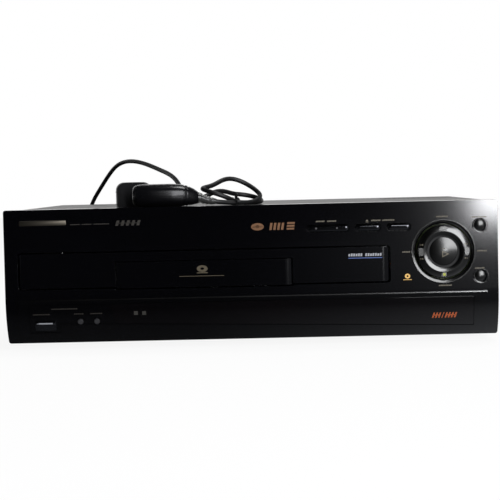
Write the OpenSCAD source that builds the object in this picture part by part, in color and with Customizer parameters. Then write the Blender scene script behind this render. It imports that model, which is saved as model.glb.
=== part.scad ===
// Laserdisc player with a separate CD tray, built as an assembly.
// Millimetres. +Z is up, the front faces -Y, +X is to the right seen from the front.
// The origin is at the middle of the footprint, on the surface that the feet stand on.

/* [Body] */
// Width of the front panel to the left of the LD door
door_side = 12.5; // [11:0.5:20]
// Width of the front panel to the right of the LD door, where the ring control sits
control_w = 92.5; // [89:0.5:110]
// Height of the front panel
panel_h = 115; // [114:1:121]
// Room from the rear end of the closed LD tray to the back of the rear panel
rear_room = 21.5; // [20:0.5:40]
// Height of the feet
foot_h = 6; // [5:0.5:12]
// Diameter of a foot
foot_d = 40; // [34:1:46]
// Thickness of the steel sheets
sheet_t = 1.2; // [0.8:0.1:1.6]
// Wall of the moulded front panel
panel_t = 3; // [2.4:0.1:3.4]
// Depth of the front panel's rim, from its face to the case behind it
rim_d = 22; // [20:0.5:24]
// How far the lower edge of the front panel curves back
sweep_d = 15; // [11:0.5:16]
// Height over which the front panel curves back
sweep_h = 40; // [37:0.5:43]
// Corner radius of the front panel in the front view
corner_r = 2; // [1:0.5:4]
// Gap between fixed pieces that lie beside each other
fit_gap = 0.3; // [0.2:0.05:0.35]
// Gap round pieces that move past each other
run_gap = 0.5; // [0.4:0.05:0.6]
// Radial clearance of a shaft in its bore
shaft_gap = 0.06; // [0.03:0.01:0.09]

/* [Lower fascia and window] */
// How far each end of the raised lower fascia stays inside the front panel
fascia_in = 10.75; // [9:0.25:15]
// Height of the fascia's upper edge above the panel's foot
fascia_h = 37.8; // [37:0.2:39]
// Thickness of the fascia
fascia_t = 1.6; // [1.4:0.1:2]
// Depth of the window's face behind the fascia's face
window_drop = 0.5; // [0.3:0.1:0.8]
// Distance of the window recess from the left and right end of the fascia
window_in = [9.25, 10.45];
// Upper edge of the window recess
window_top = 33.5; // [33:0.1:34.5]
// Lower edge of the recess at its step and at its right end
window_foot = [17.4, 8.5];
// Width of the power button's tab, and how low it reaches above the panel's foot
tab_w = 26; // [24:0.5:30]
tab_v = 9.6; // [9:0.1:10.5]
// Upper and lower end of the slanted joint, from the recess's left end
slant_in = [68.9, 73.3];

/* [Trays] */
// Diameter of the large disc
disc_d = 300; // [297:0.5:302]
// Diameter of the small disc
cd_d = 120; // [118:0.5:122]
// Rim of the LD tray beside the disc
tray_rim = 2.5; // [2:0.1:3]
// Gap between a disc and the edge of its recess
disc_gap = 1.5; // [1:0.1:2]
// Length of the LD tray that stays in the guides when it is out
tray_tail = 45; // [42:0.5:46]
// Height of the LD tray
tray_h = 13.5; // [12.5:0.5:14.5]
// Depth of the LD recess
disc_drop = 5; // [4:0.25:5.5]
// Height of the LD door, and of its lower edge above the panel's foot
door_h = 29.6; // [28:0.2:31]
door_v = 47.7; // [47.2:0.1:48.4]
// How much wider than the tray the LD door is, on each side
door_over = 3.5; // [3.3:0.1:4.5]
// Gap round each door
door_gap = 1.2; // [1:0.1:1.4]
// Thickness of the doors
door_t = 4; // [3:0.5:5]
// Width and depth of the rounding at the left and right end of each door
pillow = [5.5, 2];
// Width and height of the CD door, and the height of its lower edge
cd_door_w = 150; // [149:0.5:154]
cd_door_h = 22.2; // [21:0.2:23]
cd_door_v = 46.6; // [46.4:0.1:47]
// Width of the CD tray without its runners
cd_tray_w = 140; // [136:1:141]
// Thickness of the CD tray
cd_tray_h = 6.9; // [6.5:0.1:7.3]
// Depth of the CD recess
cd_drop = 2.6; // [2:0.2:3]
// Length of the CD tray behind the disc
cd_tail = 37; // [35:1:42]
// Width and height of the tray runners
runner = [2.6, 3.4];

/* [Buttons and ring] */
// Height of the ring control's centre above the panel's foot
ring_v = 72; // [70:0.5:74]
// Outer and inner radius of the ring
ring_r = [22.6, 15.2];
// How far the ring stands out of the panel
ring_out = 4.5; // [3.5:0.25:5.5]
// Radius of the play button
play_r = 11.8; // [11:0.1:12]
// Height of the pill buttons, and how far their middle is below the panel's upper edge
pill_h = 6.2; // [5.4:0.1:7]
pill_down = 21.2; // [20:0.1:22]
// Left and right end of each pill button, to the left of the ring's centre
pill_from_ring = [[115, 79.5], [74.2, 52.8], [47.4, 27.3]];
// Radius of the two domed buttons, and of the two small round buttons
domed_r = 4.5; // [4:0.1:5]
dot_r = 2.4; // [2:0.1:2.8]
// Distance of the domed buttons from the right side, and above and below the ring's centre
domed_in = 15.7; // [14.5:0.1:17]
domed_rise = 21.5; // [20.5:0.1:23]
// Distance of each small round button from the recess's left end, and its height
dot_in = [43.6, 57.6];
dot_v = 18.8; // [18:0.1:19.5]
// Distance of the power button's ends from the recess's left end
power_in = [4.7, 22.9];
// Lower and upper edge of the power button
power_v = [11.4, 18.5];

/* [Mechanism] */
// Height of the top of the mechanism's base plate above the feet's top
deck_h = 32; // [31:0.5:32.5]
// Radius of the turntable
turntable_r = 17; // [15:0.5:18]
// Module of the loading gears, and the teeth of the tray gear and the pinion
gear_m = 1.5; // [1.4:0.05:1.6]
gear_n = 24; // [22:2:26]
pinion_n = 16; // [16:1:18]
// Play between the teeth
gear_play = 0.3; // [0.2:0.05:0.4]
// Radius and spacing from the disc's centre line of the pickup's guide rods
rod_r = 2; // [1.5:0.25:2.5]
rod_x = 26; // [25:0.5:28]
// Radius of the sled screw, and its distance from the disc's centre line
screw_r = 2.5; // [2:0.25:3]
screw_x = 46; // [44:0.5:48]

/* [Mains lead] */
// Diameter of the mains lead
lead_d = 4.2; // [4:0.1:4.4]
// Length of the strain relief behind the rear panel
relief_l = 24; // [22:1:26]

/* [Hidden] */
$fn = 64;
ring_tilt_gap = 1.2;
jack_out = 9;

// Overall width and depth, which follow from the large disc's tray and door
tray_w = disc_d + 2*(disc_gap + tray_rim);
tray_front_rim = 8;
door_w = tray_w + 2*door_over;
body_w = door_side + door_w + control_w;
body_d = door_t + tray_front_rim + disc_d + disc_gap + tray_tail + rear_room;
disc_x = -body_w/2 + door_side + door_w/2;
total_d = body_d + ring_out + jack_out;
face_y = -total_d/2 + ring_out;
rear_y = face_y + body_d;
case_y = face_y + rim_d;
top_z = foot_h + panel_h;
steps = 24;

// Places on the front, from its left and right side
fascia_w = body_w - 2*fascia_in;
window_x = [-fascia_w/2 + window_in[0], fascia_w/2 - window_in[1]];
tab = [window_x[0] + tab_w, tab_v];
slant_x = window_x[0]*[1, 1] + slant_in;
power_x = window_x[0]*[1, 1] + power_in;
dot_at = [for (d = dot_in) [window_x[0] + d, dot_v]];
ring_x = body_w/2 - control_w/2;
pill_v = panel_h - pill_down;
pill_x = [for (p = pill_from_ring) ring_x*[1, 1] - p];
domed_at = [for (s = [1, -1]) [body_w/2 - domed_in, ring_v + s*domed_rise]];
tube_x = [slant_x[1] + 47, window_x[1] - 98];

// Side profile of the front panel: straight above, an arc that curves back below
sweep_r = (pow(sweep_h, 2) + pow(sweep_d, 2))/(2*sweep_d);
function face_at(v) =
    v >= sweep_h ? face_y : face_y + sweep_r - sqrt(pow(sweep_r, 2) - pow(sweep_h - v, 2));
face_vs = concat([for (i = [0:steps]) sweep_h*i/steps], [panel_h]);

// Case
cover_w = body_w - 1;
cover_top = top_z - 1;
pan_w = cover_w - 2*sheet_t - 2*fit_gap;
floor_z = foot_h + sheet_t;
pan_flange = 14;
cover_foot = foot_h + 2;
inner_y = rear_y - sheet_t;

// Trays
tray_x = [disc_x - tray_w/2, disc_x + tray_w/2];
tray_y0 = face_y + door_t;
disc_y = tray_y0 + tray_front_rim + disc_d/2;
tray_y1 = disc_y + disc_d/2 + disc_gap + tray_tail;
tray_z = foot_h + door_v + 2;
tray_floor = tray_z + tray_h - disc_drop;
cd_z = tray_floor - cd_tray_h;
cd_y1 = disc_y + cd_d/2 + 1 + cd_tail;
runner_z = tray_z + 1.6;
cd_runner_z = cd_z + 1.7;
hub_hole_r = turntable_r + 5;
slot_w = 54;

// Board behind the buttons, and the switches' travel
board_y = face_y + 16;
board_t = 1.6;
press = 1.2;
post_v = [fascia_h + 1.2, panel_h - 10];
board_posts = [
    [-body_w/2 + 60, post_v[0]], [0, post_v[0]], [body_w/2 - 14, post_v[0]],
    [ring_x - 104, post_v[1]], [ring_x - 36, post_v[1]]
];
ring_z = foot_h + ring_v;
hinge_y = face_y + 6.25;
pin_r = 1;

// Mechanism
deck_t = 3;
deck_z = foot_h + deck_h;
deck_x = [tray_x[0] - 12, tray_x[1] + 10];
deck_y = [case_y + 2, inner_y - 18];
deck_window = (deck_y[1] - deck_y[0] - 92)/3;
lift_t = 3;
lift_z = deck_z + 0.4;
motor_z = lift_z + lift_t;
motor_h = 6.6;
table_z = motor_z + motor_h + 0.5;
table_h = 3.5;
cone_h = 2.4;
lift_pin_r = 2;
lift_pin_x = 30;
rod_z = deck_z + 9;
rod_y = [disc_y + turntable_r + 3, disc_y + disc_d/2 + 40];
screw_z = rod_z;
sled_y = disc_y + turntable_r + 1.5;
sled_l = 41;
arm_z = tray_z + tray_h + 9.8;
arm_pivot = [inner_y - 11, arm_z + 6];
post_x = 25;
guide_lip = 1.2;
gear_z = [runner_z + runner[1] + run_gap + guide_lip + 0.6, tray_z + tray_h - 1.4];
gear_r = gear_m*gear_n/2;
pinion_r = gear_m*pinion_n/2;
rack_root = tray_x[1];
gear_at = [rack_root + 1.25*gear_m + gear_r, case_y + 18];
pinion_dir = 60;
pinion_at = gear_at + (gear_r + pinion_r)*[cos(pinion_dir), sin(pinion_dir)];
motor_at = pinion_at + [29, 14];
pulley_r = 15;
motor_pulley_r = 4;
belt_t = 1.2;
wing_z = tray_z - 3.6;
pulley_z = wing_z + 3;

// Places of the four legs that carry the mechanism on the chassis
leg_at = [for (x = [tray_x[0] + 9, tray_x[1] - 9], y = [deck_y[0] + 18, deck_y[1] - 18]) [x, y]];

// Places of the four feet
// the front feet stand well back, where the front's lower edge hides them
foot_at = [for (x = [-1, 1], back = [98, body_d - 48]) [x*(body_w/2 - 55), back - body_d/2]];

// The lead's route: out of the gland, up behind the case, over the top and down to its hank
gland_at = [-body_w/2 + 26, foot_h + 44];
lead_pts = [for (p = [
    [-184, 212, 44], [-184, 221, 45], [-185, 231, 50], [-186, 238, 60], [-186, 238, 73],
    [-185, 232, 86], [-183, 220, 98], [-179, 206, 109], [-173, 192, 120], [-163, 178, 133],
    [-153, 160, 145], [-143, 134, 154], [-131, 104, 158], [-117, 74, 157], [-101, 42, 151],
    [-87, 10, 143], [-77, -18, 137], [-68.5, -46, 132], [-60.5, -73, 128], [-53.5, -97, 125],
    [-48, -116, 122.5], [-41, -126.5, 120.5], [-30.5, -127, 119]
]) p + [0, 0, foot_h]];
plug_lead_pts = [for (p = [[-48, -131, 124.3], [-44.5, -127.5, 128], [-40.5, -121, 132]])
    p + [0, 0, foot_h]];
hank_l = 80;
hank_w = 29.4;
hank_t = 12.8;
hank_turn = 52;
hank_lean = 35;
hank_at = [-14, -97, cover_top + 0.3 + hank_w/2*sin(hank_lean) + hank_t/2*cos(hank_lean) + 1.3];
plug_at = [-80, -131, cover_top + 0.2];
adapter_at = [-106, -97.2];
adapter_r = 16;
adapter_h = 22.5;

// ---------- shared shapes ----------

// Box between two corners
module span(a, b) {
    translate(a) cube(b - a);
}

// Outline drawn in the front view, X and height above the panel's foot, extruded from y0 to y1
module front_prism(y0, y1) {
    translate([0, y1, foot_h]) rotate([90, 0, 0]) linear_extrude(y1 - y0) children();
}

// Outline drawn in the side view, Y and Z, extruded from x0 to x1
module side_prism(x0, x1) {
    translate([x0, 0, 0]) rotate([90, 0, 90]) linear_extrude(x1 - x0) children();
}

// Round bar along Y
module bar_y(x, z, y0, y1, r) {
    translate([x, y0, z]) rotate([-90, 0, 0]) cylinder(h = y1 - y0, r = r);
}

// Round bar along X
module bar_x(y, z, x0, x1, r) {
    translate([x0, y, z]) rotate([0, 90, 0]) cylinder(h = x1 - x0, r = r);
}

// Round bar along Z
module bar_z(at, z0, z1, r) {
    translate([at[0], at[1], z0]) cylinder(h = z1 - z0, r = r);
}

// Rectangle with round corners, from its lower left corner
module round_rect(x0, y0, w, h, r) {
    translate([x0 + r, y0]) square([w - 2*r, h]);
    translate([x0, y0 + r]) square([w, h - 2*r]);
    for (x = [x0 + r, x0 + w - r], y = [y0 + r, y0 + h - r]) translate([x, y]) circle(r);
}

// Slot with round ends between x0 and x1
module slot_2d(x0, x1, v, h) {
    translate([x0 + h/2, v - h/2]) square([x1 - x0 - h, h]);
    for (x = [x0 + h/2, x1 - h/2]) translate([x, v]) circle(h/2);
}

// Wall that follows the front panel's profile, from in front of its face to t behind that
module face_wall(x0, x1, ahead, t) {
    side_prism(x0, x1) polygon(concat(
        [for (v = face_vs) [face_at(v) - ahead, foot_h + v]],
        [for (i = [len(face_vs) - 1:-1:0]) [face_at(face_vs[i]) - ahead + t, foot_h + face_vs[i]]]
    ));
}

// Lower edge of the window recess at a given X
function recess_foot(x) =
    window_foot[0] + (window_foot[1] - window_foot[0])*(x - tab[0])/(window_x[1] - tab[0]);

// Outline of the whole recess for window and sub-panel, grown by g
module recess_2d(g) {
    polygon([
        [window_x[0] - g, window_top + g], [window_x[1] + g, window_top + g],
        [window_x[1] + g, recess_foot(window_x[1]) - g], [tab[0] + g, recess_foot(tab[0]) - g],
        [tab[0] + g, tab[1] - g], [window_x[0] - g, tab[1] - g]
    ]);
}

// Everything left of the slanted joint, moved by g
module slant_2d(g) {
    polygon([
        [-body_w, 0], [slant_x[1] + 2 + g, 0], [slant_x[1] + g, recess_foot(slant_x[1])],
        [slant_x[0] + g, window_top], [slant_x[0] - 2 + g, panel_h/2], [-body_w, panel_h/2]
    ]);
}

// ---------- outer case ----------

// Holes through the front panel for the doors
module door_hole(g) {
    round_rect(disc_x - door_w/2 - g, door_v - g, door_w + 2*g, door_h + 2*g, 3);
    round_rect(disc_x - cd_door_w/2 - g, cd_door_v - g, cd_door_w + 2*g, door_h, 1);
}

// Outline of the power button, grown by g
module power_2d(g) {
    round_rect(power_x[0] - g, power_v[0] - g, power_x[1] - power_x[0] + 2*g,
        power_v[1] - power_v[0] + 2*g, 1.2);
}

module front_panel() {
    color("#17181b") difference() {
        intersection() {
            union() {
                face_wall(-body_w/2, body_w/2, 0, panel_t);
                difference() {
                    side_prism(-body_w/2, body_w/2) polygon(concat(
                        [for (v = face_vs) [face_at(v), foot_h + v]],
                        [[case_y, top_z], [case_y, foot_h]]
                    ));
                    span([-body_w/2 + panel_t, face_y - 1, foot_h + panel_t],
                        [body_w/2 - panel_t, case_y + 1, top_z - panel_t]);
                }
                // posts that carry the front board
                for (p = board_posts) bar_y(p[0], foot_h + p[1], face_at(p[1]) + 1, board_y, 3.5);
                // bosses that carry the gimbal's pins
                for (s = [-1, 1]) intersection() {
                    span([ring_x + s*26.2 - 2, face_y + 1, ring_z - 3],
                        [ring_x + s*26.2 + 2, hinge_y + 2.75, ring_z + 3]);
                    difference() {
                        translate([ring_x, hinge_y, ring_z]) cube(60, center = true);
                        bar_x(hinge_y, ring_z, ring_x - 40, ring_x + 40, pin_r + shaft_gap);
                    }
                }
            }
            front_prism(face_y - 1, case_y) round_rect(-body_w/2, 0, body_w, panel_h, corner_r);
        }
        front_prism(face_y - 1, face_y + panel_t + 1) {
            door_hole(door_gap);
            for (p = pill_x) slot_2d(p[0] - fit_gap, p[1] + fit_gap, pill_v, pill_h + 2*fit_gap);
            for (c = domed_at) translate(c) circle(domed_r + fit_gap);
            translate([ring_x, ring_v]) circle(ring_r[0] + ring_tilt_gap);
        }
        // bevels round the ring and the domed buttons
        translate([ring_x, face_y - 0.01, ring_z]) rotate([-90, 0, 0])
            cylinder(h = 1.0, r1 = ring_r[0] + 4.2, r2 = ring_r[0] + ring_tilt_gap);
        for (c = domed_at) translate([c[0], face_y - 0.01, foot_h + c[1]]) rotate([-90, 0, 0])
            cylinder(h = 0.5, r1 = domed_r + 1.6, r2 = domed_r + fit_gap);
        // lower openings: the display behind the window, and the buttons beside it
        front_prism(face_y - 1, case_y + 1) {
            intersection() {
                recess_2d(-4);
                translate([slant_x[0] + 4, 0]) square([body_w, panel_h]);
            }
            power_2d(fit_gap);
            for (c = dot_at) translate(c) circle(dot_r + fit_gap);
        }
    }
}

module lower_fascia() {
    color("#1b1c1f") difference() {
        intersection() {
            face_wall(-fascia_w/2, fascia_w/2, fascia_t, fascia_t);
            span([-body_w, face_y - 9, foot_h + 3], [body_w, case_y, foot_h + fascia_h]);
        }
        front_prism(face_y - 9, case_y) {
            recess_2d(fit_gap);
            for (c = dot_at) translate(c) circle(dot_r + fit_gap);
        }
        // bevelled upper edge
        side_prism(-body_w, body_w) polygon([
            [face_y - fascia_t - 1, foot_h + fascia_h - 1.3],
            [face_y - fascia_t - 1, foot_h + fascia_h + 1],
            [face_y + 0.7, foot_h + fascia_h + 1]
        ]);
    }
}

module display_window() {
    color("#26201f") intersection() {
        face_wall(window_x[0], window_x[1], fascia_t - window_drop, fascia_t - window_drop);
        front_prism(face_y - 9, case_y) difference() {
            recess_2d(0);
            slant_2d(fit_gap);
        }
    }
}

module power_panel() {
    color("#131416") intersection() {
        face_wall(window_x[0], window_x[1], fascia_t - window_drop, fascia_t - window_drop);
        front_prism(face_y - 9, case_y) difference() {
            intersection() {
                recess_2d(0);
                slant_2d(0);
            }
            power_2d(fit_gap);
            for (c = dot_at) translate(c) circle(dot_r + fit_gap);
        }
    }
}

// Profile of the cover's sheet, with rounded bends; w and top are its outer size
module cover_2d(w, top, r) {
    round_rect(-w/2, -20, w, top - foot_h + 20, r);
}

// Places of the cover's side screws: Y and Z
side_screws = [[case_y + 40, floor_z + 6], [rear_y - 40, floor_z + 6]];
rear_screws = [-body_w/2 + 30, 0, body_w/2 - 30];
// Where the cooling slots start and end, in Y
slots_y = [rear_y - 128, rear_y - 38];

module top_cover() {
    bend_r = 3;
    color("#3b3a38") difference() {
        union() {
            front_prism(case_y + fit_gap, rear_y) difference() {
                cover_2d(cover_w, cover_top, bend_r);
                cover_2d(cover_w - 2*sheet_t, cover_top - sheet_t, bend_r - sheet_t);
                translate([-body_w, -60]) square([2*body_w, 60 + cover_foot - foot_h]);
            }
            // rear flange that laps behind the rear panel's top edge
            span([-pan_w/2 + 12, rear_y, cover_top - 11], [pan_w/2 - 12, rear_y + sheet_t, cover_top]);
        }
        for (s = side_screws, x = [-1, 1]) bar_x(s[0], s[1], x*cover_w/2 - 4, x*cover_w/2 + 4, 1.7);
        for (x = rear_screws) bar_y(x, cover_top - 6, rear_y - 1, rear_y + 3, 1.7);
        // cooling slots over the right compartment and in both sides
        for (x = [tray_x[1] + 16:5:body_w/2 - 14])
            span([x, slots_y[0], cover_top - 3], [x + 2, slots_y[1], cover_top + 1]);
        for (x = [-1, 1], i = [0:11])
            span([x*cover_w/2 - 4, slots_y[0] + 8*i, foot_h + 40],
                [x*cover_w/2 + 4, slots_y[0] + 8*i + 3, foot_h + 75]);
    }
}

module chassis() {
    color("#8d8c86") difference() {
        union() {
            span([-pan_w/2, case_y + fit_gap, foot_h], [pan_w/2, inner_y, floor_z]);
            for (s = [-1, 1]) intersection() {
                span([-pan_w/2, case_y + fit_gap, foot_h], [pan_w/2, inner_y, floor_z + pan_flange]);
                translate([s*(pan_w/2 - sheet_t/2), 0, 0])
                    cube([sheet_t, 2*body_d, 2*panel_h], center = true);
            }
            // pressed stiffening ribs
            for (x = (pan_w/2 - 88)*[-1, 0, 1])
                span([x - 5, case_y + 30, floor_z], [x + 5, inner_y - 30, floor_z + 1.5]);
        }
        for (f = foot_at) bar_z(f, foot_h - 1, floor_z + 3, 2);
        for (p = leg_at) bar_z(p, foot_h - 1, floor_z + 3, 1.7);
        for (s = side_screws, x = [-1, 1]) bar_x(s[0], s[1], x*pan_w/2 - 4, x*pan_w/2 + 4, 1.4);
        // cooling slots in the floor
        for (x = [-60, 60], i = [0:9])
            span([x - 40, slots_y[0] - 40 + 9*i, foot_h - 1], [x + 40, slots_y[0] - 37 + 9*i, floor_z + 1]);
    }
}

scart_x = body_w/2 - 98;
jack_x = [for (d = [88, 70, 52]) scart_x - d];
jack_z = [foot_h + 24, foot_h + 42];
scart_z = foot_h + 33;

module rear_panel() {
    color("#2a2a2b") difference() {
        front_prism(inner_y, rear_y)
            translate([-pan_w/2, sheet_t + fit_gap])
                square([pan_w, panel_h - 2*sheet_t - 1 - 2*fit_gap]);
        for (x = jack_x, z = jack_z) bar_y(x, z, inner_y - 1, rear_y + 1, 5.3);
        span([scart_x - 26, inner_y - 1, scart_z - 8.5], [scart_x + 26, rear_y + 1, scart_z + 8.5]);
        bar_y(gland_at[0], gland_at[1], inner_y - 1, rear_y + 1, 6);
        for (x = rear_screws) bar_y(x, cover_top - 6, inner_y - 1, rear_y + 1, 1.4);
        for (x = [scart_x + 36:6:body_w/2 - 18])
            span([x, inner_y - 1, foot_h + 20], [x + 3, rear_y + 1, foot_h + 60]);
    }
}

module foot(i) {
    color("#1a1a1a") translate([foot_at[i][0], foot_at[i][1], 0]) difference() {
        rotate_extrude() polygon([
            [0, 2], [foot_d/2 - 7, 2], [foot_d/2 - 6, 0], [foot_d/2 - 2, 0], [foot_d/2 - 1, 1.5],
            [foot_d/2, foot_h - 1], [foot_d/2, foot_h], [0, foot_h]
        ]);
        translate([0, 0, -1]) cylinder(h = foot_h - 2, r = 5);
        cylinder(h = foot_h + 1, r = 2);
    }
}

// Pan head screw with its shank, head on the +Z side
module screw() {
    translate([0, 0, 0]) cylinder(h = 1.8, r1 = 3.1, r2 = 2.4);
    translate([0, 0, -4]) cylinder(h = 4.01, r = 1.3);
}

module cover_screws() {
    color("#3a3a3a") {
        for (s = side_screws, x = [-1, 1])
            translate([x*cover_w/2, s[0], s[1]]) rotate([0, x*90, 0]) screw();
        for (x = rear_screws)
            translate([x, rear_y + sheet_t, cover_top - 6]) rotate([-90, 0, 0]) screw();
    }
}

module av_jack_block() {
    x0 = jack_x[0] - 11;
    x1 = jack_x[len(jack_x) - 1] + 11;
    color("#1c1c1c") difference() {
        union() {
            span([x0, inner_y - 14, jack_z[0] - 10], [x1, inner_y, jack_z[1] + 10]);
            for (x = jack_x, z = jack_z) {
                bar_y(x, z, inner_y - 1, rear_y + 1.5, 5);
                bar_y(x, z, rear_y, rear_y + jack_out, 4.15);
            }
        }
        for (x = jack_x, z = jack_z) bar_y(x, z, rear_y - 3, rear_y + jack_out + 1, 1.6);
    }
}

module scart_socket() {
    color("#161616") difference() {
        union() {
            span([scart_x - 25.5, inner_y - 12, scart_z - 8], [scart_x + 25.5, rear_y + 5, scart_z + 8]);
            span([scart_x - 29, inner_y - 8, scart_z - 10], [scart_x + 29, inner_y, scart_z + 10]);
        }
        // D-shaped mouth with the contact bar left standing in it
        translate([scart_x, rear_y + 6, scart_z]) rotate([90, 0, 0]) linear_extrude(14) difference() {
            polygon([[-23.5, -6], [23.5, -6], [23.5, 6], [-18, 6], [-23.5, 1]]);
            translate([-20, -1.2]) square([40, 2.4]);
        }
    }
}

module cord_gland() {
    color("#111111") difference() {
        union() {
            bar_y(gland_at[0], gland_at[1], inner_y - 6, rear_y + 1, 5.8);
            translate([gland_at[0], rear_y, gland_at[1]]) rotate([-90, 0, 0])
                cylinder(h = 3, r = 8);
            translate([gland_at[0], inner_y - 3, gland_at[1]]) rotate([-90, 0, 0])
                cylinder(h = 3, r = 7.4);
            translate([gland_at[0], rear_y + 2, gland_at[1]]) rotate([-90, 0, 0])
                cylinder(h = relief_l - 2, r1 = 5.6, r2 = 3.6);
        }
        bar_y(gland_at[0], gland_at[1], inner_y - 7, rear_y + relief_l - 6, lead_d/2);
        // ribs that let the strain relief bend
        for (i = [0:3]) difference() {
            bar_y(gland_at[0], gland_at[1], rear_y + 6 + 4*i, rear_y + 7.4 + 4*i, 8);
            bar_y(gland_at[0], gland_at[1], rear_y + 5 + 4*i, rear_y + 9 + 4*i, 3.4);
        }
    }
}

// ---------- front controls ----------

// Stem and flange behind a button: the flange stops it from falling out
module stem(x, v, y0) {
    bar_y(x, foot_h + v, y0, board_y - press - 0.2, 1.5);
}

// Pill button between x0 and x1: a bar with round ends, a flange behind the panel and a stem
module pill_button(p) {
    r = pill_h/2;
    color("#202125") {
        bar_x(face_y + 0.8, foot_h + pill_v, p[0] + r, p[1] - r, r);
        for (x = [p[0] + r, p[1] - r]) translate([x, face_y + 0.8, foot_h + pill_v]) sphere(r);
        front_prism(face_y + 0.8, face_y + panel_t + 2) slot_2d(p[0], p[1], pill_v, pill_h);
        front_prism(face_y + panel_t + 0.1, face_y + panel_t + 1.6)
            slot_2d(p[0] - 1.2, p[1] + 1.2, pill_v, pill_h + 2.4);
        stem((p[0] + p[1])/2, pill_v, face_y + panel_t + 1);
    }
}

// Round button with a domed cap
module domed_button(c) {
    cap_r = 9;
    color("#202125") {
        intersection() {
            bar_y(c[0], foot_h + c[1], face_y - 1.4, face_y + panel_t + 1, domed_r);
            translate([c[0], face_y - 1.4 + cap_r, foot_h + c[1]]) sphere(cap_r, $fn = 96);
        }
        bar_y(c[0], foot_h + c[1], face_y + panel_t + 0.1, face_y + panel_t + 1.6, domed_r + 1.2);
        stem(c[0], c[1], face_y + panel_t + 1);
    }
}

module round_button(c) {
    y = face_at(c[1] - dot_r) + panel_t;
    color("#6d6e72") {
        bar_y(c[0], foot_h + c[1], face_at(c[1]) - fascia_t - 1, y + 2, dot_r);
        translate([c[0], face_at(c[1]) - fascia_t - 1, foot_h + c[1]]) rotate([90, 0, 0])
            cylinder(h = 0.5, r1 = dot_r, r2 = dot_r - 0.6);
        bar_y(c[0], foot_h + c[1], y + 0.5, y + 2, dot_r + 1.2);
        bar_y(c[0], foot_h + c[1], y + 1, board_y - press - 0.2, 1.2);
    }
}

module power_button() {
    back = face_at(power_v[0] - 1.5) + panel_t + 0.3;
    color("#191a1c") {
        intersection() {
            face_wall(power_x[0] - 1, power_x[1] + 1, fascia_t + 1.6, 14);
            front_prism(face_y - 9, back + 1) power_2d(0);
        }
        front_prism(back, back + 1.5)
            round_rect(power_x[0] - 1.5, power_v[0] - 1.5, power_x[1] - power_x[0] + 3,
                power_v[1] - power_v[0] + 3, 1);
    }
}

// Ring that is pressed at its four sides: it slopes gently away from a crest near its
// inner edge, whose lip reaches over the collar
module ring_control() {
    skirt_r = ring_r[1] + 1.6;
    crest_r = ring_r[1] + 2;
    lip_r = ring_r[1] - 1.3;
    crest = ring_out - 0.4;
    color("#232428") {
        translate([ring_x, face_y, ring_z]) rotate([90, 0, 0]) {
            rotate_extrude($fn = 96) polygon([
                [ring_r[1], -8], [skirt_r, -8], [skirt_r, -3.2], [ring_r[0], -3.2],
                [ring_r[0], crest - 2.6],
                for (t = [1:-0.125:0]) [crest_r + t*(ring_r[0] - 0.4 - crest_r), crest - 1.9*pow(t, 1.5)],
                for (t = [0.25:0.25:1]) [crest_r - t*(crest_r - lip_r), crest - 1.1*pow(t, 1.5)],
                [lip_r, crest - 1.6], [ring_r[1], crest - 2.2]
            ]);
            // raised marks to press at the four sides
            for (a = [0, 90, 180, 270]) rotate(a) translate([(ring_r[0] + ring_r[1])/2 + 0.5, 0, 0])
                linear_extrude(ring_out) slot_mark(a);
        }
        // pins up and down into the gimbal
        for (s = [-1, 1]) translate([ring_x, hinge_y, ring_z + s*(skirt_r - 0.3)])
            rotate([s > 0 ? 0 : 180, 0, 0]) cylinder(h = 3, r = pin_r);
    }
}

// Outline of a mark on the ring: long ones at the sides and the top, a short one below
module slot_mark(a) {
    l = a == 270 ? 0.8 : 3.4;
    translate([-1.9, -l/2]) square([3.8, l]);
    for (s = [-1, 1]) translate([0, s*l/2]) circle(1.9);
}

module ring_gimbal() {
    r0 = ring_r[1] + 1.6 + 0.6;
    r1 = ring_r[0] - 2.2;
    color("#4a4b4e") difference() {
        union() {
            translate([ring_x, hinge_y - 1.75, ring_z]) rotate([-90, 0, 0]) cylinder(h = 3.5, r = r1);
            for (s = [-1, 1]) bar_x(hinge_y, ring_z, ring_x + (s > 0 ? r1 - 1 : -27.5),
                ring_x + (s > 0 ? 27.5 : -r1 + 1), pin_r);
        }
        bar_y(ring_x, ring_z, hinge_y - 5, hinge_y + 5, r0);
        bar_z([ring_x, hinge_y], ring_z - 30, ring_z + 30, pin_r + shaft_gap);
    }
}

module play_collar() {
    color("#0f0f10") difference() {
        bar_y(ring_x, ring_z, face_y - 0.5, board_y, ring_r[1] - 1);
        bar_y(ring_x, ring_z, face_y - 2, board_y + 1, play_r + fit_gap);
    }
}

module play_button() {
    dome_r = 40;
    color("#222327") {
        intersection() {
            bar_y(ring_x, ring_z, face_y - 3, face_y + 6, play_r);
            translate([ring_x, face_y - 2.4 + dome_r, ring_z]) sphere(dome_r, $fn = 128);
        }
        stem(ring_x, ring_v, face_y + 5);
        for (a = [0:60:179]) translate([ring_x, face_y + 9, ring_z]) rotate([0, a, 0])
            cube([2*play_r - 0.4, 6.02, 1.2], center = true);
    }
}

module front_board() {
    color("#5c6b2f") difference() {
        front_prism(board_y, board_y + board_t) polygon([
            [-body_w/2 + 6, 6], [body_w/2 - 6, 6], [body_w/2 - 6, panel_h - 6],
            [pill_x[0][0] - 9, panel_h - 6], [pill_x[0][0] - 9, door_v + door_h + 6],
            [tray_x[1] + 9, door_v + door_h + 6],
            [tray_x[1] + 9, cd_door_v - 4], [-body_w/2 + 6, cd_door_v - 4]
        ]);
    }
}

module display_tube() {
    y0 = face_at(12) + panel_t + 0.5;
    color("#3c4a4a") {
        span([tube_x[0], y0, foot_h + 13.5], [tube_x[1], board_y, foot_h + 30]);
        for (x = [tube_x[0], tube_x[1] - 8])
            span([x, y0 - 0.3, foot_h + 15], [x + 8, y0 + 1, foot_h + 28]);
    }
}

// ---------- trays ----------

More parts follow.
